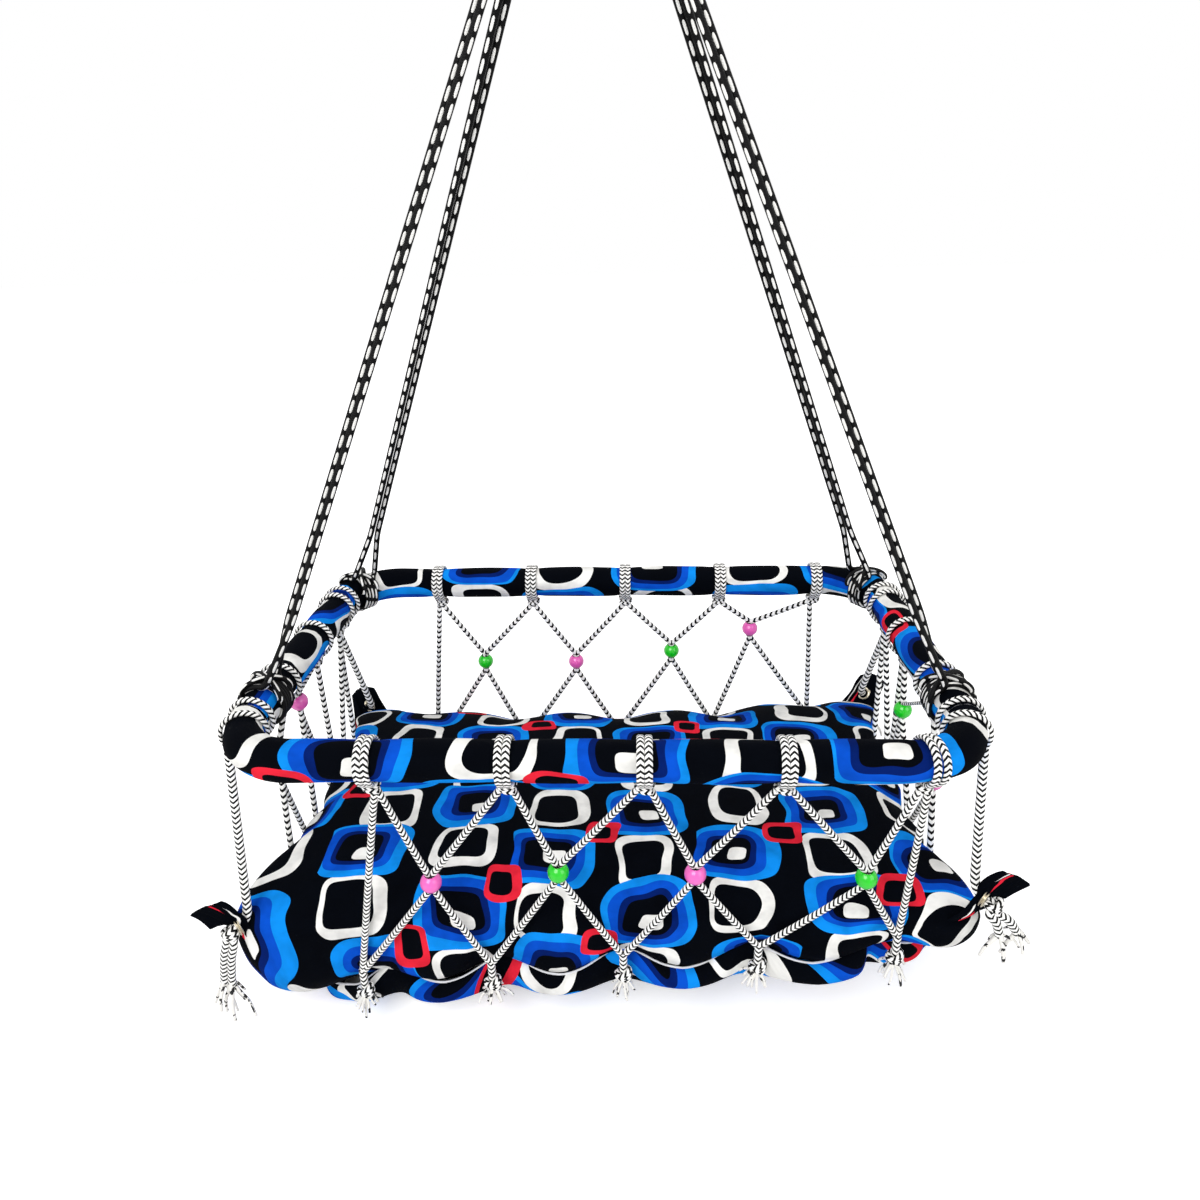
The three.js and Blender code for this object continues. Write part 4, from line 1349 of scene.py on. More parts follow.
@dataclass(frozen=True)
class InnerFrame:
    """The pipe halves, their joiners and the foam, which keep their own forms."""

    steel: tuple[str, ...] = ("pipe_right", "pipe_left", "joiner_front", "joiner_back")
    foam: tuple[str, ...] = ("foam_front", "foam_right", "foam_back", "foam_left")

    def build(self) -> None:
        """Give each carried-over node its finish."""
        for names, finish in ((self.steel, TUBE_STEEL), (self.foam, FOAM)):
            for name in names:
                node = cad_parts[name]
                node.data.materials.clear()
                node.data.materials.append(finish.material())
                log.info("%s: %s", name, finish.name)


@dataclass(frozen=True)
class NetPlan:
    """Where one net side's wraps, ties, beads and cords are."""

    side: Side
    wraps: tuple[float, ...]
    ties: tuple[float, ...]
    beads: tuple[Pair, ...]
    routes: tuple[Route, ...]
    colours: tuple[Finish, ...]


def long_plan(side: Side, wrap_share: float, tie_share: float, shifts: Sequence[float],
              depths: Sequence[float], colours: tuple[Finish, ...]) -> NetPlan:
    """Return the plan of the front's or the back's net.

    Args:
        side: front or back.
        wrap_share: how far the middle wrap is off centre, as a share of the ring's length.
        tie_share: how far the middle tie is off centre, as a share of the ring's length.
        shifts: how far each bead is off the middle between its wraps, as a share of their spacing.
        depths: each bead's depth as a share of the bed's.
        colours: each bead's finish.

    Returns:
        The plan.
    """
    run = RING.back if side is Side.BACK else float
    spacing, tie_spacing = 0.172 * RING.length, 0.1836 * RING.length
    wraps = [RING.length * wrap_share + spacing * (index - 2) for index in range(5)]
    ties = [RING.length * tie_share + tie_spacing * (index - 2) for index in range(5)]
    routes: list[Route] = [(0, None, 0, 1), (4, None, 4, 1)]
    for cell in range(4):
        routes += [(cell, cell, cell + 1, 1), (cell + 1, cell, cell, -1)]
    beads = tuple((run(wraps[cell] + spacing * (0.5 + shift)), BED.depth * depth)
                  for cell, (shift, depth) in enumerate(zip(shifts, depths)))
    return NetPlan(side, tuple(map(run, wraps)), tuple(map(run, ties)), beads, tuple(routes), colours)


def short_plan(side: Side, beads: Sequence[Pair], colours: tuple[Finish, ...]) -> NetPlan:
    """Return the plan of the right's or the left's net.

    Args:
        side: right or left.
        beads: each bead's place as a share of the half width, and its depth as a share of the bed's.
        colours: each bead's finish.

    Returns:
        The plan.
    """
    run = RING.right if side is Side.RIGHT else RING.left
    half = RING.half_width
    routes = ((0, None, 0, 1), (0, None, 1, -1), (1, None, 1, 1), (1, 0, 2, -1), (2, 0, 1, 1), (2, 1, 3, -1),
              (3, 1, 2, 1))
    return NetPlan(side, tuple(run(half * share) for share in (0.58, 0.19, -0.31, -0.655)),
                   tuple(run(half * share) for share in (0.54, 0.2, -0.22, -0.58)),
                   tuple((run(half * place), BED.depth * depth) for place, depth in beads), routes, colours)


def net_plans() -> list[NetPlan]:
    """Return the plans of the four net sides."""
    return [
        long_plan(Side.FRONT, 0.059, 0.0286, (-0.15, -0.16, -0.12, 0.16), (0.568, 0.513, 0.517, 0.53),
                  (PINK, GREEN, PINK, GREEN)),
        long_plan(Side.BACK, 0.0286, 0.0115, (-0.08, -0.06, 0.0, -0.15), (0.487, 0.49, 0.424, 0.288),
                  (GREEN, PINK, GREEN, PINK)),
        short_plan(Side.RIGHT, ((0.1, 0.35), (-0.46, 0.41)), (GREEN, PINK)),
        short_plan(Side.LEFT, ((-0.14, 0.18), (-0.5, 0.34)), (PINK, GREEN)),
    ]


@dataclass
class Nets:
    """Four netted sides of flat braided cord: paired wraps, knots, crossing cords, ties and beads."""

    plans: list[NetPlan] = field(default_factory=net_plans)
    rail: float = 19.0
    width: float = 6.6
    wide: float = 6.8
    thickness: float = 4.2
    knot_drop: float = 26.0
    neck: float = 11.0
    bead: float = 20.0
    bore: float = 5.3
    straight: float = 12.0
    # How far the two cords of a wrap lie off its middle, and the two cords at a bead off its bore's middle
    pair_shift: float = 3.5
    bead_shift: float = 1.6
    # How far a tie's knot hangs under the sheet, and its frayed yarns: how many, how long and how thick
    tie_drop: float = 11.35
    yarns: int = 13
    yarn_length: float = 23.0
    yarn_thickness: float = 1.6

    def wrap(self, form: Form, run: float, cords: int) -> None:
        """Lay cords side by side round the rail.

        Args:
            form: what they are added to.
            run: where they are.
            cords: one or two.
        """
        angles = np.radians(np.arange(-90.0, 270.0, 9.0))
        for side in (-1, 1) if cords == 2 else (0,):
            place = RING.at(run + side * self.pair_shift)
            radial = np.cos(angles)[:, None] * place.outward + np.sin(angles)[:, None] * UP
            reach = self.rail + self.thickness / 2 - 0.6
            loop = place.point + radial * reach
            # They lean together where they go into the knot
            pull = np.clip((-np.sin(angles) - 0.6) / 0.4, 0, 1) ** 2
            loop = loop - place.ahead * (side * 1.6 * pull)[:, None] - UP * (2.2 * pull)[:, None]
            form.sweep(loop, flat_section(self.wide, self.thickness, 16), radial, closed=True, grain=0.95)

    def knot(self, form: Form, run: float) -> None:
        """Tie the wrap off under the rail with two short turns."""
        place = RING.at(run)
        for shift, size, rise in ((-1.5, (7.4, 4.6), 1.4), (3.0, (6.4, 4.2), -1.4)):
            centre = place.point - UP * (self.knot_drop + shift)
            form.knotted(centre, place.ahead, place.outward, size, flat_section(5.4, 3.6, 12), rise)

    def leg(self, form: Form, start: Array, end: Array, bow: float = 1.0) -> None:
        """Stretch one cord between two places, its flat side to the front.

        Args:
            form: what it is added to.
            start: its upper end.
            end: its lower end.
            bow: how far its middle stands out to the front.
        """
        share = np.linspace(0.0, 1.0, max(6, int(np.linalg.norm(end - start) / 3)))[:, None]
        line = start + (end - start) * share + FRONT * bow * 4 * share * (1 - share)
        form.sweep(line, flat_section(self.width, self.thickness, 14), FRONT, ends=EndCap.ROUND,
                   grain=0.9 if line[0][1] < -180 else 1.4)

    def frayed(self, form: Form, knot: Array, out: Array, count: int, length: float, seed: int,
               thick: float, spread: float = 1.0) -> None:
        """Splay the loose yarns under a knot.

        Args:
            form: what they are added to.
            knot: where they come out.
            out: the way that the knot looks.
            count: how many there are.
            length: how long the longest is.
            seed: the number that their chance values start from.
            thick: how thick they are, as a share of a yarn.
            spread: how far they splay.
        """
        chance = np.random.default_rng(seed)
        side = np.cross(UP, out)
        for number in range(count):
            angle = 2 * math.pi * number / count + chance.uniform(-0.3, 0.3)
            lean = chance.uniform(0.35, 1.0) * spread
            way = (side * math.cos(angle) + out * math.sin(angle)) * lean - UP * chance.uniform(0.5, 1.0)
            way = unit(way)
            size = length * chance.uniform(0.65, 1.0)
            wave = unit(chance.normal(size=3)) * size * 0.16 / thick**2
            knots = [knot, knot + way * size * 0.35 + wave * 0.4, knot + way * size * 0.7 + wave,
                     knot + way * size - UP * size * 0.12]
            line = curved(knots, 2.0)
            taper = np.linspace(1.0, 0.6, len(line))
            form.sweep(line, round_section(thick * chance.uniform(1.9, 2.9), 6), size=taper, finish=1)

    def tie(self, form: Form, run: float, number: int) -> None:
        """Knot the cords together under the sheet's edge.

        Args:
            form: what the knot is added to.
            run: where it is.
            number: the number that its yarns' chance values start from.
        """
        place = RING.at(run)
        point = place.point
        top = BED.top(point[0], point[1])
        knot = point + UP * (top - self.tie_drop)
        stem = np.array([point + UP * (top + self.straight + 3), knot])
        form.sweep(spaced(stem, 3.0), flat_section(self.width + 1.0, self.thickness + 1.4, 14), place.outward)
        for turn in (-1, 0, 1):
            flat = place.ahead * math.cos(0.5 * turn) + UP * math.sin(0.5 * turn)
            form.knotted(knot + UP * 2.0 * turn, flat, place.outward, (7.0, 5.0), flat_section(5.6, 4.0, 12))
        self.frayed(form, knot - UP * 3, place.outward, self.yarns, self.yarn_length, number,
                    self.yarn_thickness)

    def bead_piece(self, name: str, point: Array, finish: Finish, slot: str) -> None:
        """Turn one bead with a softly rounded bore.

        Args:
            name: the bead's node.
            point: its middle.
            finish: its finish.
            slot: its slot in the record.
        """
        radius, bore = self.bead / 2, self.bore
        lip = math.acos(bore / radius)
        outer = [(radius * math.cos(a), radius * math.sin(a)) for a in np.linspace(-lip, lip, 19)]
        height = outer[-1][1]
        inner = [(bore + 0.25, height + 0.1), (bore - 0.5, height - 0.9), (bore - 0.5, 0.9 - height),
                 (bore + 0.25, -height - 0.1)]
        form = Form()
        form.turned(outer[::-1] + inner[::-1], point, UP)
        form.piece(f"turned_{name}", [finish], slot, [name])

    def build(self) -> None:
        """Make each side's cords and beads."""
        for plan in self.plans:
            form = Form()
            for run in plan.wraps:
                self.wrap(form, run, 2 if plan.side in (Side.FRONT, Side.BACK) else 1)
                self.knot(form, run)
            tops = []
            for run in plan.ties:
                point = RING.at(run).point
                tops.append(point + UP * (BED.top(point[0], point[1]) + self.straight))
            spots = [RING.at(run).point - UP * depth for run, depth in plan.beads]
            for wrap, bead, tie, side in plan.routes:
                place = RING.at(plan.wraps[wrap])
                start = place.point - UP * (self.rail + 6.5) + place.ahead * side * 3.4
                if bead is None:
                    self.leg(form, start, tops[tie])
                    continue
                neck = UP * (self.neck - 2.5) - place.ahead * side * self.bead_shift
                above, below = spots[bead] + neck, spots[bead] - neck
                self.leg(form, start, above)
                self.leg(form, below, tops[tie])
                form.sweep(spaced(np.array([above, below]), 3.0), flat_section(5.0, 3.4, 12), FRONT)
            for number, run in enumerate(plan.ties):
                self.tie(form, run, 40 * list(Side).index(plan.side) + number)
            name = f"net_{plan.side.value}"
            form.piece(f"braided_{name}", [BRAID, YARN], "white_braid", [name])
            for number, (spot, colour) in enumerate(zip(spots, plan.colours)):
                slot = "pink_bead" if colour is PINK else "green_bead"
                self.bead_piece(f"bead_{plan.side.value}_{number + 1}", spot, colour, slot)


@dataclass
class RailCovers:
    """The printed sleeves sewn over the padded ring, drawn in where the cords bind them."""

    plans: list[NetPlan] = field(default_factory=net_plans)
    radius: float = 19.0
    gap: float = 0.35
    step: float = 2.6
    # How far along the rail a cord's pull and the padding's swell between the cords reach
    pull_reach: float = 13.0
    puff_reach: float = 34.0
    puff: float = 0.9
    hem: float = 0.7
    print_scale: float = 0.8

    def spans(self) -> dict[Side, Pair]:
        """Return each sleeve's first and last run."""
        end = RING.straight_x + RING.arc
        half = RING.whole / 2
        return {Side.FRONT: (-end, end), Side.RIGHT: (end, end + 2 * RING.straight_y),
                Side.BACK: (half - end, half + end), Side.LEFT: (half + end, RING.whole - end)}

    def reach(self, runs: Array, angles: Array) -> Array:
        """Say how far the cloth lies from the rail's middle line.

        Args:
            runs: places along the ring.
            angles: places round the rail.

        Returns:
            The distances, runs by angles.
        """
        nearest = np.full(len(runs), 1e9)
        for run in [*(run for plan in self.plans for run in plan.wraps), *corner_runs().values()]:
            away = np.abs((runs - run + RING.whole / 2) % RING.whole - RING.whole / 2)
            nearest = np.minimum(nearest, away)
        pinch = np.exp(-((nearest / self.pull_reach) ** 2))[:, None]
        puff = self.puff * (1 - np.exp(-((nearest / self.puff_reach) ** 2)))[:, None]
        around, along = np.meshgrid(angles, runs)
        folds = (0.55 * np.sin(3 * around + along / 31 + 1.3 * np.sin(along / 53))
                 + 0.4 * np.sin(5 * around - along / 17 + 2.0)) * (1 - pinch)
        rays = np.sin(11 * around + along / 6) * (pinch * (1 - pinch))
        ends = np.minimum(runs - runs[0], runs[-1] - runs)
        hem = self.hem * np.exp(-((ends - 3.0) / 2.6) ** 2)
        return self.radius - pinch + puff - 0.7 + 0.45 * folds + rays + hem[:, None]

    def build(self) -> None:
        """Make the four sleeves."""
        angles = np.radians(np.linspace(-90.0, 270.0, 61))[:-1]
        turn = np.linspace(0.0, 2 * math.pi * self.radius, 61) * METRES
        for side, (first, last) in self.spans().items():
            runs = np.linspace(first + self.gap / 2, last - self.gap / 2, int((last - first) / self.step))
            points, _, outward = RING.runs(runs)
            radial = np.cos(angles)[None, :, None] * outward[:, None] + np.sin(angles)[None, :, None] * UP
            surface = points[:, None] + radial * self.reach(runs, angles)[..., None]
            cuts = np.stack(np.meshgrid(turn, runs * self.print_scale * METRES), axis=-1)[..., ::-1]
            form = Form()
            form.grid(surface, cuts, True)
            inner = points[:, None] + radial * (self.radius - 1.5)
            for row, order in ((0, 1), (-1, -1)):
                ring = np.stack([surface[row], inner[row]])[::order]
                form.grid(ring, np.stack([cuts[row], cuts[row]]), True, 1)
            name = f"cloth_{side.value}"
            form.piece(f"sewn_{name}", [RAIL_PRINT, EDGE], "printed_cloth", [name])


CORNERS = (("front_left", -1, -1), ("front_right", 1, -1), ("back_right", 1, 1), ("back_left", -1, 1))


def corner_runs() -> dict[str, float]:
    """Return the run of each corner cord's wrap."""
    front, behind = -RING.straight_y - 20, RING.straight_y + 2
    return {"front_right": RING.right(front), "back_right": RING.right(behind),
            "back_left": RING.left(behind), "front_left": RING.left(front)}


@dataclass
class CornerCords:
    """The cords from the ring's corners to the sheet's eyelets, with their knots and loose ends."""

    nets: Nets
    diameter: float = 9.0
    # In the order of the corners: how long each tassel is, how far it leans as a share of that, how far
    # its two ends stand apart and how far their yarns splay
    tassels: tuple[float, ...] = (106.0, 58.0, 80.0, 80.0)
    leans: tuple[float, ...] = (0.12, 0.3, 0.12, 0.12)
    parts: tuple[float, ...] = (0.6, 5.0, 1.0, 1.0)
    splays: tuple[float, ...] = (0.45, 0.9, 0.45, 0.45)

    def build(self) -> None:
        """Make the four cords."""
        for number, (name, sign_x, sign_y) in enumerate(CORNERS):
            run = corner_runs()[name]
            place = RING.at(run)
            point, normal = BED.eyelet(sign_x, sign_y)
            form = Form()
            self.nets.wrap(form, run, 1)
            self.nets.knot(form, run)
            face = BED.thickness * normal[2] / 2 + 1.35
            knot = point - normal * (face + 6.5)
            start = place.point + place.outward * 16.5 - UP * 13.5
            above = point + normal * (face + self.diameter)
            line = bent([start, above, knot], 14.0, 3.0)
            form.sweep(line, flat_section(self.diameter - 0.4, 5.0, 16), FRONT,
                       grain=0.95 if sign_y < 0 else 1.45)
            self.tie_off(form, knot, np.array([0.2 * sign_x, -1.0, 0.0]), number)
            form.piece(f"braided_corner_cord_{name}", [BRAID, YARN], "white_braid", [f"corner_cord_{name}"])

    def tie_off(self, form: Form, knot: Array, out: Array, number: int) -> None:
        """Knot the cord outside the tab and let its two ends hang, frayed at their tips.

        Args:
            form: what they are added to.
            knot: the knot's middle.
            out: the way that the knot looks.
            number: the corner's number.
        """
        ahead = np.cross(UP, out)
        for turn in (-1, 0, 1):
            flat = ahead * math.cos(0.6 * turn) + UP * math.sin(0.6 * turn)
            form.knotted(knot + UP * 2.2 * turn, flat, out, (6.6, 5.2), flat_section(5.6, 4.2, 12))
        length = self.tassels[number]
        lean = self.leans[number] * length * np.sign(out[0])
        for side in (-1, 1):
            root = knot + ahead * side * 3.6
            foot = root - UP * length * 0.6 + ahead * (side * self.parts[number] + lean) + out * 4
            line = curved([knot, root - UP * 9 + out * 2, (root + foot) / 2 + out * 2, foot], 2.5)
            form.sweep(line, flat_section(8.4, 5.0, 14), out)
            self.nets.frayed(form, foot + UP * 4, out, 4, length * 0.32 + 8, 900 + 2 * number + side, 1.9,
                             self.splays[number])


@dataclass
class Eyelets:
    """Pressed metal eyelets in the sheet's four tabs."""

    bore: float = 5.5
    barrel: float = 6.7
    flange: float = 9.2

    def build(self) -> None:
        """Roll each eyelet."""
        for name, sign_x, sign_y in CORNERS:
            point, normal = BED.eyelet(sign_x, sign_y)
            half = BED.thickness * normal[2] / 2 + 0.35
            roll = [(self.bore, 0.0), (self.bore, half), (self.bore + 0.7, half + 0.9),
                    (self.bore + 2.0, half + 1.25), (self.flange - 1.0, half + 1.0),
                    (self.flange, half + 0.45), (self.flange - 0.1, half), (self.barrel, half)]
            profile = roll + [(radius, -height) for radius, height in roll[:0:-1]]
            form = Form()
            form.turned(profile, point, normal)
            form.piece(f"rolled_eyelet_{name}", [NICKEL], "eyelet_metal", [f"eyelet_{name}"])


def smooth_step(values: Array, low: float, high: float) -> Array:
    """Return 0 below low, 1 above high and a smooth rise between."""
    share = np.clip((values - low) / (high - low), 0.0, 1.0)
    return share * share * (3 - 2 * share)


@dataclass
class Bed:
    """The cushion and the base sheet that carries it, drawn up at every tie, and the sheet's four ears."""

    plans: list[NetPlan] = field(default_factory=net_plans)
    half_x: float = 336.0
    half_y: float = 203.0
    crown: float = -160.0
    power: float = 10.0
    # How far the corners stand past the middle of each side, how far the rim swells between the ties
    # and is drawn in at them, and how far along it a tie's pull reaches
    spread: Pair = (18.0, 10.0)
    swell: float = 9.0
    drawn_in: float = 3.0
    tie_reach: float = 36.0
    # The widest level as a share of the height, and how much it drops to the back and rises to the ends
    waist_level: float = 0.43
    waist_drop: float = 0.13
    waist_rise: Pair = (0.2, 0.06)
    # How far the underside hangs below the sheet's plane at a tie, and how much further between ties
    hang: Pair = (7.0, 28.0)
    # Where the front corners bulge and how far, and how wide the bulges are
    bulges: tuple[tuple[float, float, Triple], ...] = (
        (-338.0, -208.0, (-14.0, -15.0, -8.0)), (338.0, -208.0, (9.0, -9.0, 0.0)))
    bulge_width: float = 82.0
    # How blunt the skins' edges are: the underside both ways, the top along X, and the top along Y with
    # how much that grows to the back
    under: float = 0.2
    top_long: float = 0.09
    top_across: Pair = (0.34, 0.28)
    # The quarter outlines that the cloth is measured along: half width, top height and bottom height
    outline: Triple = (270.0, 44.0, 62.0)
    cells: tuple[int, int] = (104, 66)
    cap: float = 9.0
    frames: int = 20
    # How far inside the ring the cords hold the cushion, and how far and how wide it swells past them
    hold: float = 4.5
    past_cords: float = 28.0
    cord_reach: float = 44.0
    # The sheet's hem above its plane at a tie, how much lower it is between ties and at the corners
    hem: Triple = (4.0, 18.0, 4.0)
    # The hem's belly: how far it stands out at a tie and how much more between, and how far it reaches down
    hem_out: Pair = (7.0, 4.0)
    hem_down: Pair = (20.0, 9.0)
    hem_steps: int = 22
    belly: float = 44.0
    belly_fade: float = 0.14
    # The flaps' half widths from their feet up
    front_flap: tuple[float, ...] = (30.0, 26.0, 15.0, 14.0, 10.0)
    back_flap: tuple[float, ...] = (30.0, 30.0, 25.0, 17.0, 9.0)

    def tie_points(self) -> Array:
        """Return the plan places of all ties."""
        return np.array([RING.at(run).point[:2] for plan in self.plans for run in plan.ties])

    def lift(self, x: Array, y: Array) -> Array:
        """Return 1 at a tie and 0 well away from all ties, at places near the rim."""
        ties = self.tie_points()
        away = np.sqrt(((x[..., None] - ties[:, 0]) ** 2 + (y[..., None] - ties[:, 1]) ** 2).min(axis=-1))
        return np.exp(-((away / self.tie_reach) ** 2))

    def rim(self, ax: Array, ay: Array) -> tuple[Array, ...]:
        """Return the widest outline, its sides drawn in between the corners and at the ties.

        Args:
            ax: how far along X, as a share, on the edge of a square.
            ay: how far along Y.

        Returns:
            The direction's two parts, the outline's two parts, and the lift there.
        """
        size = np.maximum(np.abs(ax) ** self.power + np.abs(ay) ** self.power, 1e-12) ** (-1 / self.power)
        ox, oy = ax * size, ay * size
        x = ox * (self.half_x + self.spread[0] * oy**2)
        y = oy * (self.half_y + self.spread[1] * ox**2)
        lift = self.lift(x, y)
        out = self.swell * (1 - lift) - self.drawn_in * lift
        return ox, oy, x + out * ox * np.abs(ox) ** 7, y + out * oy * np.abs(oy) ** 7, lift

    def waist(self, x: Array, oy: Array) -> Array:
        """Return the level at which the cushion is widest, lower at its back and higher at its two ends."""
        floor = BED.tilt * x - BED.depth
        rise, less = self.waist_rise
        end = (rise - less * np.sign(x)) * (x / self.half_x) ** 2
        return floor + (self.waist_level - self.waist_drop * oy + end) * (self.crown - floor)

    def bottom(self, x: Array, y: Array) -> Array:
        """Return the level of the cushion's underside, drawn up at the ties."""
        return BED.tilt * x - BED.depth - self.hang[0] - self.hang[1] * (1 - self.lift(x, y))

    def droop(self, points: Array) -> Array:
        """Let the two front corners bulge past the net, the left one most."""
        for x, y, shift in self.bulges:
            away = (points[..., 0] - x) ** 2 + (points[..., 1] - y) ** 2
            points = points + np.exp(-away / self.bulge_width**2)[..., None] * np.array(shift)
        return points

    def shell(self, u: Array, v: Array, top: bool) -> tuple[Array, Array]:
        """Return one of the cushion's two skins.

        Args:
            u: a square grid's places along X, from -1 to 1.
            v: its places along Y.
            top: whether it is the upper skin.

        Returns:
            The skin's points, and their places on the flat cloth in metres.
        """
        size = np.maximum(np.maximum(np.abs(u), np.abs(v)), 1e-6)
        ox, oy, rim_x, rim_y, _ = self.rim(u / size, v / size)
        polar = np.linspace(0.0, math.pi / 2, 400)
        runs = []
        width, above, below = self.outline
        for power, depth in ((0.25, above), (self.under, below)):
            wide, tall = width * np.sin(polar) ** power, depth * np.cos(polar) ** 1.1
            step = np.hypot(np.diff(wide), np.diff(tall))
            runs.append((wide, np.concatenate([[0.0], np.cumsum(step)])))
        wide, run = runs[0] if top else runs[1]
        angle = np.interp(size, run / run[-1], polar)
        if top:
            side = np.interp(size, run / run[-1], run - wide)
        else:
            side = runs[0][1][-1] + np.interp(size, run / run[-1], run[-1] - run - wide)
        back = smooth_step(oy, -0.3, 0.8)
        sine = np.sin(angle)
        if top:
            blunt = self.top_across[0] + self.top_across[1] * back
            px, py = rim_x * sine**self.top_long, rim_y * sine**blunt
            waist = self.waist(px, oy)
            pz = waist + (self.crown - waist) * np.cos(angle) ** 1.1
        else:
            px, py = rim_x * sine**self.under, rim_y * sine**self.under
            waist = self.waist(px, oy)
            pz = waist + (self.bottom(px, py) - waist) * np.cos(angle)
        cuts = np.stack([p + np.sign(o) * side * np.abs(o) ** 8 for p, o in ((px, ox), (py, oy))], axis=-1)
        return self.droop(np.stack([px, py, pz], axis=-1)), cuts * METRES

    def cushion(self) -> None:
        """Make the stuffed cushion: two skins welded at the rim, swollen, and pressed in by the cords."""
        u, v = np.meshgrid(*(np.linspace(-1.0, 1.0, count + 1) for count in self.cells), indexing="ij")
        form = Form()
        form.grid(*self.shell(u, v, True))
        form.grid(*self.shell(u[::-1], v[::-1], False))
        piece = form.piece("stuffed_cushion", [PRINT], "printed_cushion", ["cushion"])
        work = bmesh.new()
        work.from_mesh(piece.data)
        bmesh.ops.remove_doubles(work, verts=work.verts, dist=1e-5)
        work.to_mesh(piece.data)
        work.free()
        points = np.empty(len(piece.data.vertices) * 3)
        piece.data.vertices.foreach_get("co", points)
        points = points.reshape(-1, 3)
        points = self.swollen(piece, points)
        points = in_frame(self.pressed(points / METRES - UP * RING_LEVEL))
        piece.data.vertices.foreach_set("co", points.ravel())
        piece.data.update()
        piece.modifiers.new("rounding", "SUBSURF").levels = 1

    def swollen(self, piece: bpy.types.Object, points: Array) -> Array:
        """Fill the cushion by a cloth simulation that holds its underside still.

        Args:
            piece: the cushion.
            points: where its points are, in metres.

        Returns:
            Where they are when it is full, none moved further than the cap.
        """
        scene = bpy.context.scene
        copy = placed("swelling", piece.data.copy())
        held = copy.vertex_groups.new(name="held")
        under = points[:, 2] / METRES - RING_LEVEL - BED.tilt * points[:, 0] / METRES < 6.0 - BED.depth
        held.add([int(number) for number in np.flatnonzero(under)], 1.0, "REPLACE")
        cloth = copy.modifiers.new("swelling", "CLOTH")
        cloth.settings.quality = 5
        cloth.settings.mass = 0.3
        cloth.settings.tension_stiffness = cloth.settings.compression_stiffness = 12.0
        cloth.settings.bending_stiffness = 0.4
        cloth.settings.use_pressure = True
        cloth.settings.uniform_pressure_force = 4.0
        cloth.settings.shrink_min = -0.025
        cloth.settings.vertex_group_mass = held.name
        cloth.settings.effector_weights.gravity = 0.0
        cloth.point_cache.frame_start, cloth.point_cache.frame_end = 1, self.frames
        for number in range(1, self.frames + 1):
            scene.frame_set(number)
        evaluated = copy.evaluated_get(bpy.context.evaluated_depsgraph_get())
        after = np.empty(points.size)
        evaluated.data.vertices.foreach_get("co", after)
        move = after.reshape(-1, 3) - points
        length = np.linalg.norm(move, axis=1, keepdims=True)
        cap = self.cap * METRES
        log.info("swollen by up to %.1f mm", float(length.max()) / METRES)
        bpy.data.objects.remove(copy)
        scene.frame_set(1)
        return points + move / np.maximum(length, 1e-9) * cap * np.tanh(length / cap)

    def pressed(self, surface: Array) -> Array:
        """Press the cushion in behind the net's cords.

        Args:
            surface: the cushion's points.

        Returns:
            The points, moved inward where a cord lies over them.
        """
        moved = surface.copy()
        for plan in self.plans:
            face = RING.at(plan.wraps[2]).outward
            along = np.cross(UP, face)
            plane = RING.at(plan.wraps[2]).point @ face - self.hold
            spots = [RING.at(run).point - UP * depth for run, depth in plan.beads]
            segments = []
            for wrap, bead, tie, _ in plan.routes:
                start = RING.at(plan.wraps[wrap]).point - UP * 25
                tie_point = RING.at(plan.ties[tie]).point
                end = tie_point + UP * (BED.top(tie_point[0], tie_point[1]) + 6)
                if bead is None:
                    segments.append((start, end))
                else:
                    segments += [(start, spots[bead]), (spots[bead], end)]
            flat = np.stack([surface @ along, surface[..., 2]], axis=-1)
            away = np.full(surface.shape[:-1], 1e9)
            for start, end in segments:
                a = np.array([start @ along, start[2]])
                b = np.array([end @ along, end[2]])
                line = b - a
                share = np.clip(((flat - a) @ line) / (line @ line), 0.0, 1.0)
                away = np.minimum(away, np.linalg.norm(flat - (a + share[..., None] * line), axis=-1))
            for spot in spots:
                centre = np.array([spot @ along, spot[2]])
                away = np.minimum(away, np.maximum(np.linalg.norm(flat - centre, axis=-1) - 8, 0))
            limit = plane + self.past_cords * (1 - np.exp(-((away / self.cord_reach) ** 2)))
            over = surface @ face - limit
            moved = moved - (1.5 * np.logaddexp(0.0, over / 1.5))[..., None] * face
        return moved

    def sheet(self) -> None:
        """Make the base sheet: a scalloped hem round the cushion, and a belly that hangs out under it."""
        edge = np.linspace(-1.0, 1.0, 121)[:-1]
        one = np.ones(len(edge))
        ax = np.concatenate([edge, one, -edge, -one])
        ay = np.concatenate([-one, edge, one, -edge])
        ox, oy, rim_x, rim_y, lift = self.rim(ax, ay)
        floor = BED.tilt * rim_x - BED.depth
        waist = self.waist(rim_x, oy)
        corner = smooth_step(np.abs(ox * oy), 0.7, 0.86)
        high, drop, corner_drop = self.hem
        hem = floor + high - drop * (1 - lift) - corner_drop * corner
        share = np.clip((waist - hem) / (waist - self.bottom(rim_x, rim_y)), 0.0, 0.96)
        start = np.sqrt(1 - share**2) ** self.under - 0.05 * corner
        rows, cuts = [], []
        for angle in np.linspace(math.pi / 2, -math.pi / 2, self.hem_steps):
            stand = self.hem_out[0] + self.hem_out[1] * (1 - lift)
            out = 2.0 + stand * math.cos(angle) * (1 - 0.8 * corner)
            down = (self.hem_down[0] - self.hem_down[1] * (1 - lift)) * (math.sin(angle) - 1)
            rows.append(np.stack([rim_x * start + ox * out, rim_y * start + oy * out, hem + down], axis=1))
        under = rows[-1][:, 2] - floor
        for inner in np.linspace(0.04, 0.98, 20):
            px, py = (rows[self.hem_steps - 1][:, axis] * (1 - inner) for axis in (0, 1))
            fade = math.exp(-inner / self.belly_fade)
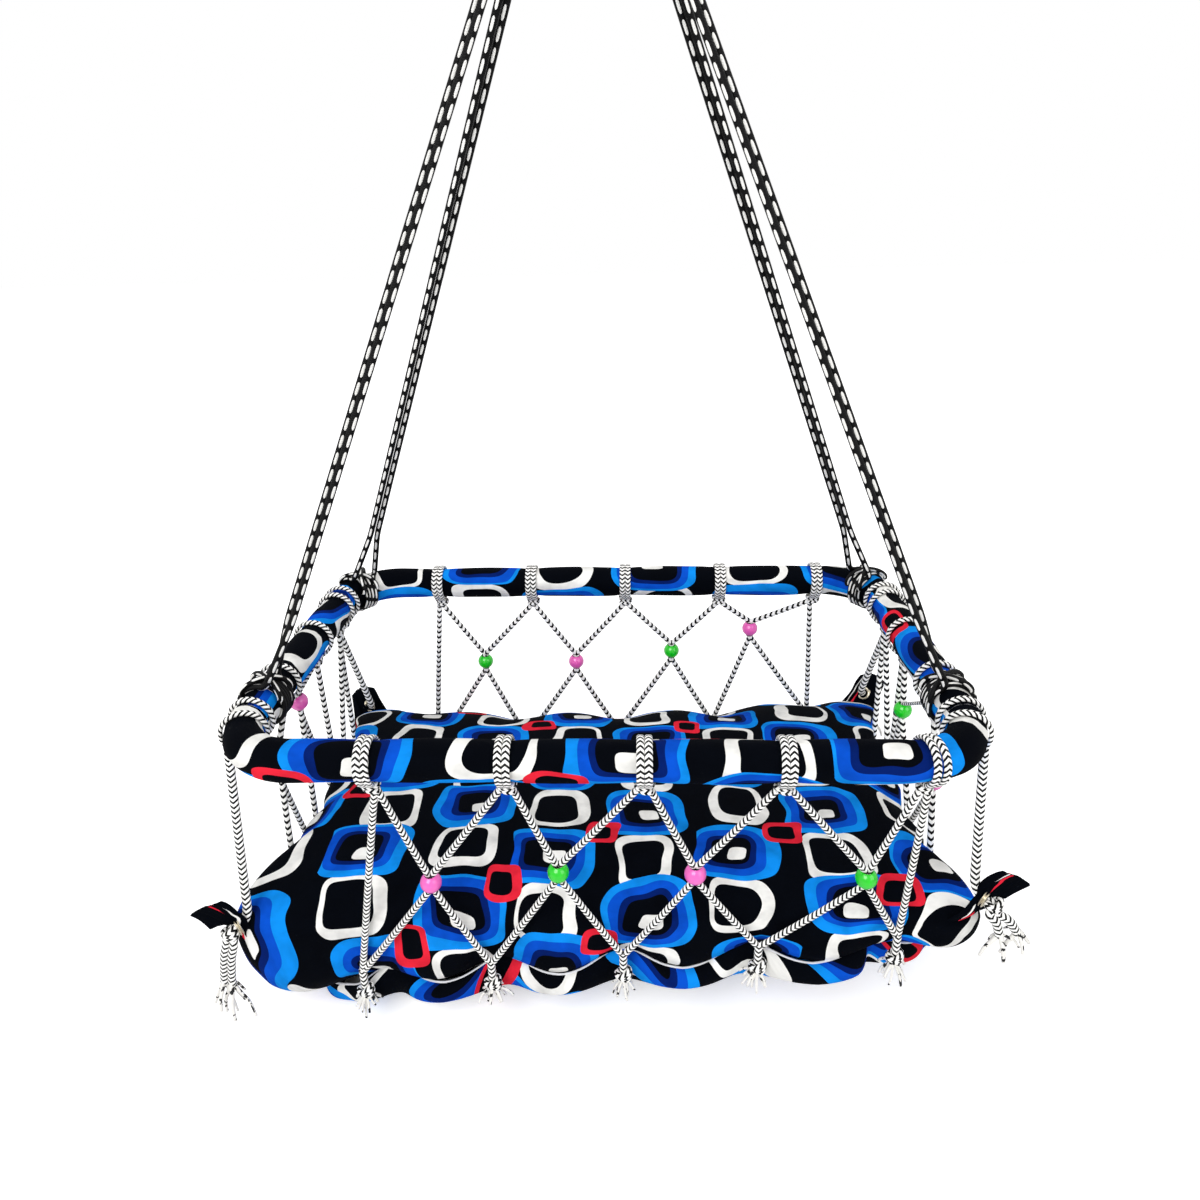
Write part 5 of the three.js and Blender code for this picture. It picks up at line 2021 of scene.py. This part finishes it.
            pz = BED.tilt * px - BED.depth + under * fade - self.belly * (1 - fade)
            rows.append(np.stack([px, py, pz], axis=1))
        run = np.zeros(len(ox))
        for before, after in zip([rows[0]] + rows, rows):
            run = run + np.linalg.norm(after - before, axis=1)
            cuts.append((rows[0][:, :2] * (1 - run / 320.0)[:, None]) * METRES)
        surface = self.droop(np.array(rows))
        flat = np.concatenate([np.array(cuts), np.array(cuts)[:, :1]], axis=1)
        form = Form()
        index = form.grid(surface, flat, True)
        form.cap(index[-1], UP * surface[-1][:, 2].mean(), flat[-1], 0, True)
        form.sweep(surface[0], round_section(2.4, 8), UP, closed=True, finish=1)
        piece = form.piece("hemmed_base_sheet", [PRINT, EDGE], "printed_cloth", ["base_sheet"])
        ears = [self.ear(name, sign_x, sign_y) for name, sign_x, sign_y in CORNERS]

    def ear(self, name: str, sign_x: int, sign_y: int) -> bpy.types.Object:
        """Make the flap of the sheet's corner that stands up with its eyelet, pleated by the cord's pull.

        Args:
            name: the corner's name.
            sign_x: 1 on the right and -1 on the left.
            sign_y: 1 behind and -1 in front.

        Returns:
            The flap.
        """
        front = sign_y < 0
        eyelet, normal = BED.eyelet(sign_x, sign_y)
        way = unit(np.array([sign_x, sign_y, 0.0]))
        rise = unit(way + UP * BED.slope(sign_x, sign_y))
        # Positive across is the front or back end of the flap, negative is its left or right end
        aside = np.cross(UP, way) * (sign_x * sign_y)
        reach, inner = (1.0, 0.8) if not front else (1.1, 0.4) if sign_x < 0 else (0.7, 0.4)
        tall = 1.6 if front else 1.0
        top = unit(way * 0.3 + UP) if front else rise
        knots = [eyelet - rise * 38 - way * 10, eyelet - rise * 20 - way * 2, eyelet,
                 eyelet + top * 15 * tall + way * 4, eyelet + top * 25 * tall + way * 9]
        line = curved(knots, 2.0)
        run = run_along(line)
        at = float(run[np.argmin(np.linalg.norm(line - eyelet, axis=1))])
        ends = [0.0, at * 0.5, at, run[-1] - 4, run[-1]]
        half = np.interp(run, ends, self.front_flap if front else self.back_flap)
        across = np.linspace(-1.0, 1.0, 41)
        pull = np.exp(-(((run - at) / 16.0) ** 2))[:, None]
        shape = np.where(across < 0, reach * across, inner * across)
        bend = -9.0 * np.maximum(across, 0) ** 2 + 3.0 * across**2
        pleat = 2.6 * np.sin(across * 15.0 + sign_x + run[:, None] / 9) * np.minimum(np.abs(across) * 3, 1)
        lean = bend[None] + pleat * (0.35 + 0.65 * pull)
        sag = 5.0 * np.maximum(-across - 0.2, 0)[None] ** 1.5
        # The two front flaps fold over above their eyelets, to face the front
        fold = smooth_step(run, at, at + 12.0)[:, None] * front
        sides = unit(aside * (1 - fold) + np.array([-sign_x, 0.25, 0.0]) * fold)
        skin = (line[:, None] + half[:, None, None] * (1 - 0.16 * pull[..., None]) * shape[None, :, None]
                * sides[:, None] + lean[..., None] * way - sag[..., None] * UP)
        cloth = 1.2 * normal
        points = np.concatenate([skin + cloth, skin[:, ::-1] - cloth], axis=1)
        plain = 90.0 if (sign_x, sign_y) == (-1, 1) else 0.0
        cut = (np.concatenate([across, across[::-1], across[:1]]) * 40 + plain) * METRES
        form = Form()
        form.grid(points, np.stack(np.meshgrid(cut, run * METRES), axis=-1), True)
        return form.piece(f"sheet_ear_{name}", [EAR], "printed_cloth")

    def build(self) -> None:
        """Make the cushion and the sheet."""
        self.cushion()
        self.sheet()


def main() -> None:
    """Build the studio and every sub-assembly."""
    logging.basicConfig(level=logging.INFO, format="%(name)s: %(message)s")
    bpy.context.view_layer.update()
    Studio().build()
    Ropes().build()
    Metalwork().build()
    InnerFrame().build()
    nets = Nets()
    nets.build()
    RailCovers().build()
    CornerCords(nets).build()
    Eyelets().build()
    Bed().build()
    bpy.context.view_layer.update()


if __name__ == "__main__":
    main()
